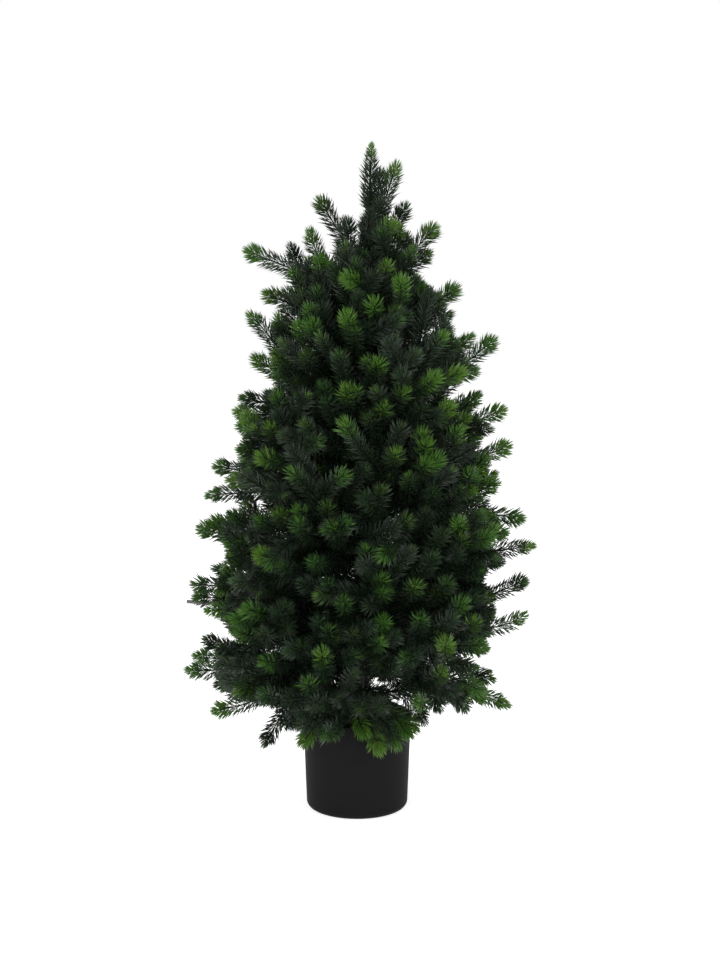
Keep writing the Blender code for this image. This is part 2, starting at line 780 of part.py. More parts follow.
def shoot_rod(shoot, rod, space, owner):
    """A side shoot: a plain twig out of the stem, then the needled length."""
    total = length_of(shoot)
    end = total - NEEDLE_LENGTH * 0.6
    needles = max(0.012, end - SHOOT_LENGTH)
    marks = [0.001] + [needles + (end - needles) * i / SHOOT_BANDS for i in range(SHOOT_BANDS + 1)]
    path = [point_at(shoot, d)[0] for d in marks]
    tip = point_at(shoot, end)
    path.append(tip[0] + tip[1] * 0.006)
    radii = [TWIG_RADIUS, TWIG_RADIUS] + [CORE_RADIUS] * SHOOT_BANDS
    return needled_rod(path, radii, 3, 1, False, space, owner, rod)


def keep_largest_shell(mesh):
    """Fills sealed hollows and drops loose scraps: only the largest shell of a mesh stays."""
    shape = bmesh.new()
    shape.from_mesh(mesh)
    waiting = set(shape.faces)
    shells = []
    while waiting:
        front = [waiting.pop()]
        shell = list(front)
        while front:
            for edge in front.pop().edges:
                for face in edge.link_faces:
                    if face in waiting:
                        waiting.discard(face)
                        front.append(face)
                        shell.append(face)
        shells.append(shell)
    shells.sort(key=len)
    for shell in shells[:-1]:
        bmesh.ops.delete(shape, geom=shell, context="FACES")
    shape.to_mesh(mesh)
    shape.free()


def fused(name, meshes, finish, collection):
    """One object from several closed meshes, by one Boolean union on a collection."""
    whole = object_of(name, meshes[0], finish, collection)
    if len(meshes) == 1:
        return whole
    others = bpy.data.collections.new("to_fuse")
    bpy.context.scene.collection.children.link(others)
    for mesh in meshes[1:]:
        others.objects.link(bpy.data.objects.new("shoot", mesh))
    union = whole.modifiers.new("union", "BOOLEAN")
    union.operation = "UNION"
    union.operand_type = "COLLECTION"
    union.solver = "MANIFOLD"
    union.collection = others
    graph = bpy.context.evaluated_depsgraph_get()
    joined = bpy.data.meshes.new_from_object(whole.evaluated_get(graph))
    whole.modifiers.remove(union)
    keep_largest_shell(joined)
    whole.data = joined
    whole.data.materials.clear()
    whole.data.materials.append(finish)
    for obj in list(others.objects):
        bpy.data.objects.remove(obj)
    bpy.data.collections.remove(others)
    return whole


def make_crown(bark, needles, collection):
    """All boughs and masses."""
    branches, space = plan_crown()
    for number, branch in enumerate(branches):
        label = f"{number + 1:02d}" if number < MASSES else "leader"
        if branch["bough"]:
            path = branch["bough"]
            radii = np.linspace(BOUGH_RADIUS, BOUGH_TIP_RADIUS, len(path))
            tube(f"bough_{label}", path, radii, bark, collection, 6)
        slim = number == MASSES
        parts = [stem_rod(branch["stem"], branch["rod"], space, number, slim)]
        parts += [shoot_rod(*shoot, space, number) for shoot in branch["shoots"]]
        fused(f"needles_{label}", parts, needles, collection)


def main():
    clear_scene()
    tree = bpy.data.collections.new("potted_spruce")
    bpy.context.scene.collection.children.link(tree)
    black_plastic = material("black_plastic", (0.020, 0.020, 0.021), 0.55)
    cement = material("cement", (0.20, 0.19, 0.18), 0.95)
    bark = material("wrapped_wire", (0.050, 0.040, 0.025), 0.8)
    needle_green = material("needle_green", (0.020, 0.050, 0.022), 0.6)
    make_pot(black_plastic, tree)
    make_filling(cement, tree)
    make_trunk(bark, tree)
    make_crown(bark, needle_green, tree)


main()
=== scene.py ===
"""A small artificial spruce in its weighted pot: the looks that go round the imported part.

The limbs and the crown's shoots grow by the part's own rule, carried on to finer twigs.
Metres, +Z up, the origin in the middle of the pot's flat underside.
"""

from __future__ import annotations
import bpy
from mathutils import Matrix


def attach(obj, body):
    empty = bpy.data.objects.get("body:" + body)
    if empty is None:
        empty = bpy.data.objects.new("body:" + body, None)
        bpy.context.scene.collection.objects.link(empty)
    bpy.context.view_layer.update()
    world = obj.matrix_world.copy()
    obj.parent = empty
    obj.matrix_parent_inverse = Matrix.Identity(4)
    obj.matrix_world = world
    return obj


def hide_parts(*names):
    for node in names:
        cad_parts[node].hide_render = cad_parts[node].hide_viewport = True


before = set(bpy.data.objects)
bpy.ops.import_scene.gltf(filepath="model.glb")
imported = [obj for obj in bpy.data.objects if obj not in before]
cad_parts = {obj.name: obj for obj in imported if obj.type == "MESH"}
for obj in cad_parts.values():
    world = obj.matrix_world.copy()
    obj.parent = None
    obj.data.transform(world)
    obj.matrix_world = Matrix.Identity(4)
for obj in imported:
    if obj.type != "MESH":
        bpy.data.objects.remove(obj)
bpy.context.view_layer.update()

import logging
import math
import random
from dataclasses import dataclass, field
from enum import Enum
from typing import Any, Iterable, Sequence

import bpy
import numpy as np
from mathutils import Vector

LOG = logging.getLogger("potted_spruce")
Colour = tuple[float, float, float]
Pair = tuple[float, float]
Place = tuple[float, float, float]
Path = list[Vector]
Rod = tuple[Path, Sequence[float]]
Numbers = tuple[float, ...]
Rows = tuple[Numbers, ...]
# Where the front view is seen from.
EYE: Place = (0.004, -2.40, 0.80)
WHITE = (1.0, 1.0, 1.0, 1.0)
# The steps of an evenly spread sequence in two directions.
EVEN_STEP, EVEN_TURN = 0.7548776662, 0.5698402910
GOLDEN_TURN = math.pi * (3 - math.sqrt(5))
NEEDLE_TURN = math.radians(137.508)
# A shoot's needles are in one of this many tones, and in it run from dark to bright green.
TONES = 3


class Slot(Enum):
    """The record's material slots."""

    PLASTIC = "black_plastic"
    CEMENT = "cement"
    WIRE = "wrapped_wire"
    NEEDLES = "needle_green"


class Kind(Enum):
    """The kinds of side shoot, by how far apart their needles stand against the usual step."""

    SPRIG = 0.68
    FRONT = 0.85
    OUTER = 1.0
    INNER = 1.5


# --- node trees and meshes ---


@dataclass
class NodeWeb:
    """Puts nodes into a tree and links them."""

    tree: bpy.types.NodeTree

    def give(self, socket: Any, value: Any) -> None:
        """Sets an input to a value, or links it to a socket."""
        if isinstance(value, bpy.types.NodeSocket):
            self.tree.links.new(value, socket)
        else:
            socket.default_value = value

    def feed(self, node: bpy.types.Node, *first: Any, **named: Any) -> None:
        """Gives a node its first inputs in order, and others by name with "_" for a space."""
        for socket, value in zip(node.inputs, first):
            self.give(socket, value)
        for key, value in named.items():
            name = key.replace("_", " ")
            self.give(next(s for s in node.inputs if s.name == name and s.enabled), value)

    def add(self, kind: str, *first: Any, **named: Any) -> bpy.types.Node:
        """Adds one node.

        Args:
            kind: The node's type name.
            first: Values or sockets for its first inputs.
            named: Values or sockets by input name, with a capital first letter, and the node's
                own settings, with a small one; these are set before the inputs.

        Returns:
            The new node.
        """
        node = self.tree.nodes.new(kind)
        settings = {name: value for name, value in named.items() if name[0].islower()}
        for name, value in settings.items():
            setattr(node, name, value)
        inputs = {name: value for name, value in named.items() if name not in settings}
        self.feed(node, *first, **inputs)
        return node

    def out(self, kind: str, *first: Any, **named: Any) -> Any:
        """Adds one node and returns its first output in use."""
        node = self.add(kind, *first, **named)
        return next(socket for socket in node.outputs if socket.enabled)

    def math(self, operation: str, *values: Any) -> Any:
        """Adds a Math node on the given values and returns its output."""
        return self.out("ShaderNodeMath", *values, operation=operation)


@dataclass
class GeometryTree(NodeWeb):
    """A Geometry Nodes tree: its input node, and each named input's identifier."""

    group: Any = None
    identifiers: dict[str, str] = field(default_factory=dict)

    @classmethod
    def start(cls, name: str, sizes: dict[str, str]) -> GeometryTree:
        """Starts a tree.

        Args:
            name: The tree's name.
            sizes: Socket type by input name.

        Returns:
            The tree, with its input node in it.
        """
        tree = bpy.data.node_groups.new(name, "GeometryNodeTree")
        make = tree.interface.new_socket
        make("Geometry", in_out="INPUT", socket_type="NodeSocketGeometry")
        identifiers = {
            size: make(size, in_out="INPUT", socket_type=kind).identifier
            for size, kind in sizes.items()
        }
        make("Geometry", in_out="OUTPUT", socket_type="NodeSocketGeometry")
        web = cls(tree, identifiers=identifiers)
        web.group = web.add("NodeGroupInput")
        return web

    def size(self, name: str) -> Any:
        """The socket of one named input."""
        return self.group.outputs[name]

    def fact(self, name: str) -> Any:
        """Reads a fact that the geometry carries."""
        return self.out("GeometryNodeInputNamedAttribute", Name=name)

    def keep(self, geometry: Any, name: str, value: Any) -> Any:
        """Keeps a value on the geometry as a fact, and returns the geometry."""
        store = "GeometryNodeStoreNamedAttribute"
        return self.out(store, Geometry=geometry, Name=name, Value=value)

    def apply(
        self, source: bpy.types.Object, values: dict[str, Any], name: str
    ) -> bpy.types.Object:
        """Runs the tree on an object and keeps the result as a plain mesh in its place.

        Args:
            source: The object that the tree reads; it is removed.
            values: Values by input name.
            name: The new piece's name.

        Returns:
            The new piece.
        """
        modifier = source.modifiers.new(name, "NODES")
        modifier.node_group = self.tree
        for size, value in values.items():
            modifier[self.identifiers[size]] = value
        graph = bpy.context.evaluated_depsgraph_get()
        mesh = bpy.data.meshes.new_from_object(source.evaluated_get(graph))
        source.modifiers.remove(modifier)
        bpy.data.objects.remove(source)
        return place(name, mesh)


def place(name: str, mesh: bpy.types.Mesh) -> bpy.types.Object:
    """Links a mesh into the scene as an object at the origin."""
    mesh.name = name
    piece = bpy.data.objects.new(name, mesh)
    bpy.context.scene.collection.objects.link(piece)
    return piece


def mesh_of(
    name: str, points: Sequence[Any], edges: Sequence[Any], faces: Sequence[Any]
) -> bpy.types.Mesh:
    """Makes a mesh of points, edges and faces."""
    mesh = bpy.data.meshes.new(name)
    mesh.from_pydata(points, edges, faces)
    return mesh


def path_mesh(
    name: str, paths: Sequence[Path], facts: dict[str, Sequence[Sequence[float]]]
) -> bpy.types.Object:
    """Makes one object of edge chains, with facts kept at their points.

    Args:
        name: The object's name.
        paths: The chains.
        facts: For each attribute, one value a point, chain by chain.

    Returns:
        The object.
    """
    points = [tuple(point) for path in paths for point in path]
    edges: list[tuple[int, int]] = []
    first = 0
    for path in paths:
        edges += [(first + i, first + i + 1) for i in range(len(path) - 1)]
        first += len(path)
    mesh = mesh_of(name, points, edges, [])
    for fact, values in facts.items():
        layer = mesh.attributes.new(fact, "FLOAT", "POINT")
        layer.data.foreach_set("value", [value for row in values for value in row])
    return place(name, mesh)


def spread(start: float, end: float, steps: int) -> list[float]:
    """Numbers from start to end in equal steps."""
    return [start + (end - start) * i / steps for i in range(steps + 1)]


def ring(radius: float, height: float, steps: int) -> list[Place]:
    """Points on a level circle about Z."""
    turns = [2 * math.pi * i / steps for i in range(steps)]
    return [(radius * math.cos(turn), radius * math.sin(turn), height) for turn in turns]


def turned_mesh(profile: Sequence[Pair], steps: int) -> bpy.types.Mesh:
    """Turns a profile about Z.

    Args:
        profile: (radius, height) points; the first and last lie on the axis.
        steps: Faces round the axis.

    Returns:
        A closed mesh, smooth shaded.
    """
    points = [(0.0, 0.0, profile[0][1]), (0.0, 0.0, profile[-1][1])]
    for radius, height in profile[1:-1]:
        points += ring(radius, height, steps)
    last = 2 + (len(profile) - 3) * steps
    faces: list[tuple[int, ...]] = []
    for i in range(steps):
        j = (i + 1) % steps
        faces += [(0, 2 + j, 2 + i), (1, last + i, last + j)]
        for low in range(2, last, steps):
            faces.append((low + i, low + j, low + steps + j, low + steps + i))
    mesh = mesh_of("turned", points, [], faces)
    mesh.polygons.foreach_set("use_smooth", [True] * len(mesh.polygons))
    return mesh


def finish_piece(piece: bpy.types.Object, nodes: Iterable[str]) -> None:
    """Attaches a piece to the root body and hides the part's nodes that it stands for."""
    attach(piece, "root")
    names = list(nodes)
    if names:
        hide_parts(*names)
    faces = len(piece.data.polygons)
    LOG.info("%s: %d faces for %s", piece.name, faces, ", ".join(names) or "no node")


# --- finishes ---


def shader_of(name: str) -> tuple[bpy.types.Material, NodeWeb, Any]:
    """Starts a material and returns it with its node web and its Principled shader."""
    material = bpy.data.materials.new(name)
    material.use_nodes = True
    tree = material.node_tree
    return material, NodeWeb(tree), tree.nodes["Principled BSDF"]


@dataclass(frozen=True)
class PlainFinish:
    """One plain colour, as on a moulded needle."""

    name: str
    colour: Colour
    roughness: float = 0.38
    specular: float = 0.38
    glow: float = 0.0

    def material(self) -> bpy.types.Material:
        """Makes the plain material."""
        material, web, shader = shader_of(self.name)
        web.feed(shader, Base_Color=(*self.colour, 1.0), Roughness=self.roughness)
        web.feed(shader, Specular_IOR_Level=self.specular)
        if self.glow:
            web.feed(shader, Emission_Color=WHITE, Emission_Strength=self.glow)
        return material


@dataclass(frozen=True)
class Grain:
    """A noise: how fine it is, its detail, its roughness, and its fineness along Z as a share."""

    scale: float
    detail: float
    roughness: float = 0.5
    along_z: float = 1.0

    def on(self, web: NodeWeb) -> Any:
        """Adds the noise to a material and returns its value."""
        spot = web.add("ShaderNodeTexCoord").outputs["Object"]
        if self.along_z != 1.0:
            spot = web.out("ShaderNodeMapping", Vector=spot, Scale=(1.0, 1.0, self.along_z))
        noise = web.add("ShaderNodeTexNoise", Vector=spot, Scale=self.scale)
        web.feed(noise, Detail=self.detail, Roughness=self.roughness)
        return noise.outputs[0]


@dataclass(frozen=True)
class GrainedFinish:
    """A finish of two colours mixed by one grain, in the relief of another or the same one."""

    name: str
    dark: Colour
    light: Colour
    stain: Grain
    relief: Grain | None
    strength: float
    lift: float
    roughness: float
    rougher: float | None = None
    specular: float = 0.5

    def material(self) -> bpy.types.Material:
        """Makes the grained material."""
        material, web, shader = shader_of(self.name)
        stain = self.stain.on(web)
        dark, light = (*self.dark, 1.0), (*self.light, 1.0)
        tint = web.out("ShaderNodeMix", Factor=stain, A=dark, B=light, data_type="RGBA")
        rough: Any = self.roughness
        if self.rougher is not None:
            rough = web.out("ShaderNodeMapRange", Value=stain, To_Min=rough, To_Max=self.rougher)
        grain = self.relief.on(web) if self.relief else stain
        bump = web.out("ShaderNodeBump", Height=grain, Strength=self.strength, Distance=self.lift)
        web.feed(shader, Base_Color=tint, Roughness=rough, Normal=bump)
        web.feed(shader, Specular_IOR_Level=self.specular)
        return material


MATTE_PLASTIC = GrainedFinish(
    name="matte_black_plastic",
    dark=(0.0070, 0.0070, 0.0072),
    light=(0.0100, 0.0100, 0.0102),
    stain=Grain(14.0, 5.0, 0.6),
    relief=Grain(900.0, 2.0),
    strength=0.25,
    lift=0.0004,
    roughness=0.58,
    rougher=0.70,
    specular=0.06,
)
WOUND_TAPE = GrainedFinish(
    name="wound_tape",
    dark=(0.018, 0.014, 0.009),
    light=(0.055, 0.042, 0.026),
    stain=Grain(420.0, 6.0, 0.7, 0.35),
    relief=None,
    strength=0.5,
    lift=0.0006,
    roughness=0.82,
)
CAST_CEMENT = GrainedFinish(
    name="cast_cement",
    dark=(0.110, 0.105, 0.098),
    light=(0.260, 0.250, 0.235),
    stain=Grain(260.0, 6.0, 0.75),
    relief=None,
    strength=0.6,
    lift=0.0012,
    roughness=0.92,
)


# --- paths ---


def metres(count: int, *rows: Sequence[float]) -> Rows:
    """Rows whose first numbers, this many, are turned from millimetres into metres."""
    return tuple((*(value / 1000 for value in row[:count]), *row[count:]) for row in rows)


def between(table: Rows, x: float, at: int = 0, of: int = 1) -> float:
    """The value in one column of a table where another column, which rises, is x."""
    return float(np.interp(x, [row[at] for row in table], [row[of] for row in table]))


def heading(azimuth: float, rise: float) -> Vector:
    """A direction by its azimuth and its rise above level, in radians."""
    level = math.cos(rise)
    return Vector((level * math.cos(azimuth), level * math.sin(azimuth), math.sin(rise)))


def bezier(start: Vector, control: Vector, end: Vector, steps: int) -> Path:
    """Points along a quadratic curve."""
    shares = spread(0, 1, steps)
    return [start * (1 - s) ** 2 + control * 2 * s * (1 - s) + end * s * s for s in shares]


def length_of(path: Path) -> float:
    """A path's length."""
    return sum((b - a).length for a, b in zip(path, path[1:]))


def point_at(path: Path, distance: float) -> Vector:
    """The point that lies this far along a path."""
    for a, b in zip(path, path[1:]):
        step = (b - a).length
        if distance <= step or b is path[-1]:
            return a + (b - a) * (distance / step)
        distance -= step
    return path[-1]


def cut_path(path: Path, start: float, end: float, steps: int) -> Path:
    """The part of a path from start to end, as distances along it, in equal steps."""
    return [point_at(path, distance) for distance in spread(start, end, steps)]


# --- pot and filling ---


@dataclass
class Planter:
    """The pot: a tapered cup with a rounded foot and a rolled rim."""

    height: float = 0.130
    rim_radius: float = 0.0737
    base_radius: float = 0.0690
    corner: float = 0.009
    wall: float = 0.0030
    rim_round: float = 0.0015
    rim_lip: float = 0.0003
    rim_depth: float = 0.93
    recess: float = 0.0007
    ring_width: Pair = (0.0120, 0.0112)
    wall_rings: Numbers = (0.25, 0.5, 0.75)
    corner_turns: Iterable[int] = range(90, -1, -10)
    rim_turns: Iterable[int] = range(0, 181, 20)
    steps: int = 144
    finish: GrainedFinish = MATTE_PLASTIC

    def radius(self, height: float) -> float:
        """The outer radius at a height on the tapered wall."""
        return self.base_radius + (self.rim_radius - self.base_radius) * height / self.height

    def profile(self) -> list[Pair]:
        """The turned outline as (radius, height), from the underside's middle out and round."""
        foot = self.radius(self.corner) - self.corner
        inner, outer = (foot - width for width in self.ring_width)
        points = [(0.0, self.recess), (inner, self.recess), (outer, 0.0)]
        for turn in map(math.radians, self.corner_turns):
            rise = self.corner * (1 - math.sin(turn))
            points.append((foot + self.corner * math.cos(turn), rise))
        top = self.height - self.rim_round
        for share in self.wall_rings:
            z = self.corner + (self.height - self.corner - self.rim_round) * share
            points.append((self.radius(z), z))
        middle = self.rim_radius - self.rim_round
        for turn in map(math.radians, self.rim_turns):
            reach = middle + self.rim_round * math.cos(turn)
            points.append((reach, top + self.rim_round * math.sin(turn)))
        inside = self.rim_radius - self.wall - self.rim_lip
        low = (self.radius(self.corner) - self.wall, self.corner)
        points += [(inside, self.height * self.rim_depth), low]
        return points + [(foot, self.wall), (0.0, self.wall)]

    def build(self) -> None:
        """Turns the profile into the pot and dresses it."""
        piece = place("planter", turned_mesh(self.profile(), self.steps))
        piece.data.materials.append(self.finish.material())
        finish_piece(piece, ["pot"])


@dataclass
class Filling:
    """The cement in the pot, rough on top and a little dished, with the trunk standing in it."""

    planter: Planter
    top: float = 0.112
    bore_depth: float = 0.090
    bore_radius: float = 0.0089
    gap: float = 0.0003
    roughness: float = 0.0011
    waves: int = 28
    wave_number: float = 260.0
    wave_shift: float = 7.0
    sink: float = 0.6
    rings: int = 26
    steps: int = 96
    seed: int = 5
    finish: GrainedFinish = CAST_CEMENT

    def profile(self) -> list[Pair]:
        """The turned outline as (radius, height), from the floor out, over the top and down."""
        pot = self.planter
        wall, floor = pot.wall + 2 * self.gap, pot.wall + self.gap
        foot = pot.base_radius - pot.corner - self.gap
        low = (pot.radius(pot.corner) - wall, pot.corner + self.gap)
        edge = pot.radius(self.top) - wall
        top = [(radius, self.top) for radius in spread(edge, self.bore_radius, self.rings)]
        bottom = self.top - self.bore_depth
        return [(0.0, floor), (foot, floor), low, *top, (self.bore_radius, bottom), (0.0, bottom)]

    def build(self) -> None:
        """Makes the cast block with its uneven top and dresses it."""
        mesh = turned_mesh(self.profile(), self.steps)
        waves = np.random.default_rng(self.seed).normal(size=(self.waves, 4))
        level, off_bore = 1e-6, self.bore_radius + 1e-4
        for vertex in mesh.vertices:
            x, y, z = vertex.co
            if abs(z - self.top) < level and vertex.co.xy.length > off_bore:
                lift = sum(
                    math.sin((a * x + b * y) * self.wave_number + c * self.wave_shift) * abs(d)
                    for a, b, c, d in waves
                )
                vertex.co.z += self.roughness * (lift / self.waves - self.sink)
        piece = place("cement_filling", mesh)
        mesh.materials.append(self.finish.material())
        finish_piece(piece, ["pot_filling"])


# --- wound wires: trunk, boughs and twigs ---


@dataclass(frozen=True)
class Skin:
    """A rod's skin: the length of a row of faces, its sides, and the tape's pitch and relief."""

    row_step: float
    sides: int
    pitch: float = 0.01
    relief: float = 0.0


@dataclass
class WoundRods:
    """Rods along paths, round and tapered, with the relief of tape wound along them."""

    lap_shape: float = 0.6

    def __post_init__(self) -> None:
        """Builds the tree and the tape that every set of rods shares."""
        self.tape = WOUND_TAPE.material()
        self.web = self.tree()

    def tree(self) -> GeometryTree:
        """Builds the Geometry Nodes tree: paths become tubes whose skin is lifted in a spiral."""
        web = GeometryTree.start(
            "wound_rods",
            {
                "Row Step": "NodeSocketFloat",
                "Sides": "NodeSocketInt",
                "Winding Pitch": "NodeSocketFloat",
                "Relief": "NodeSocketFloat",
                "Material": "NodeSocketMaterial",
            },
        )
        curve = web.out("GeometryNodeMeshToCurve", Mesh=web.size("Geometry"))
        step = web.size("Row Step")
        curve = web.out("GeometryNodeResampleCurve", Curve=curve, Length=step, mode="LENGTH")
        distance = web.add("GeometryNodeSplineParameter").outputs["Length"]
        curve = web.keep(curve, "along", distance)
        thick = web.fact("thickness")
        curve = web.out("GeometryNodeSetCurveRadius", Curve=curve, Radius=thick)
        sides = web.size("Sides")
        section = web.out("GeometryNodeCurvePrimitiveCircle", Resolution=sides, Radius=1.0)
        turn = web.add("GeometryNodeSplineParameter").outputs["Factor"]
        section = web.keep(section, "round", turn)
        skin = web.add("GeometryNodeCurveToMesh", Curve=curve, Profile_Curve=section)
        web.feed(skin, Scale=thick, Fill_Caps=True)
        turns = web.math("DIVIDE", web.fact("along"), web.size("Winding Pitch"))
        turns = web.math("ADD", turns, web.fact("round"))
        lap = web.math("POWER", web.math("FRACT", turns), self.lap_shape)
        lift = web.math("MULTIPLY", lap, web.size("Relief"))
        normal = web.out("GeometryNodeInputNormal")
        offset = web.out("ShaderNodeVectorMath", normal, Scale=lift, operation="SCALE")
        skin = web.out("GeometryNodeSetPosition", Geometry=skin.outputs[0], Offset=offset)
        skin = web.out("GeometryNodeSetShadeSmooth", Geometry=skin)
        skin = web.out("GeometryNodeRealizeInstances", Geometry=skin)
        skin = web.out("GeometryNodeSetMaterial", Geometry=skin, Material=web.size("Material"))
        web.add("NodeGroupOutput", Geometry=skin)
        return web

    def build(
        self,
        name: str,
        rods: Sequence[Rod],
        nodes: Iterable[str],
        skin: Skin,
        material: bpy.types.Material,
    ) -> None:
        """Makes one piece of rods.

        Args:
            name: The piece's name.
            rods: Each rod's middle line, and its radius at each point of it.
            nodes: The part's nodes that the piece stands for.
            skin: The rows, sides and winding of the skin.
            material: The finish.
        """
        facts = {"thickness": [radii for _, radii in rods]}
        source = path_mesh(name, [path for path, _ in rods], facts)
        values = {
            "Row Step": skin.row_step,
            "Sides": skin.sides,
            "Winding Pitch": skin.pitch,
            "Relief": skin.relief,
            "Material": material,
        }
        finish_piece(self.web.apply(source, values, name), nodes)


@dataclass
class Trunk:
    """The pole: upright in the pot, then leaning to +X, with a true taper."""

    foot: float = 0.0223
    ground: float = 0.112
    top: float = 0.800
    tree_height: float = 0.900
    foot_radius: float = 0.0085
    top_radius: float = 0.0032
    lean: float = 0.019
    bow: float = 1.15
    steps: int = 24
    skin: Skin = Skin(0.0012, 20, 0.0105, 0.0007)

    def point(self, height: float) -> Vector:
        """The middle of the trunk at a height."""
        rise = max(0.0, height - self.ground) / (self.tree_height - self.ground)
        return Vector((self.lean * rise**self.bow, 0.0, height))

    def radius(self, height: float) -> float:
        """The trunk's radius at a height."""
        share = min(1.0, max(0.0, (height - self.ground) / (self.top - self.ground)))
        return self.foot_radius + (self.top_radius - self.foot_radius) * share

    def build(self, rods: WoundRods) -> None:
        """Makes the wound pole, from the foot in the bore to the top."""
        heights = [self.foot, *spread(self.ground, self.top, self.steps)]
        path = [self.point(z) for z in heights]
        rod = (path, [self.radius(point.z) for point in path])
        rods.build("wound_trunk", [rod], ["trunk"], self.skin, rods.tape)


# --- crown ---

# A wanted side shoot: its kind, and its row in that kind's table or its place in the sequence.
Wish = tuple[Kind, Sequence[float]]


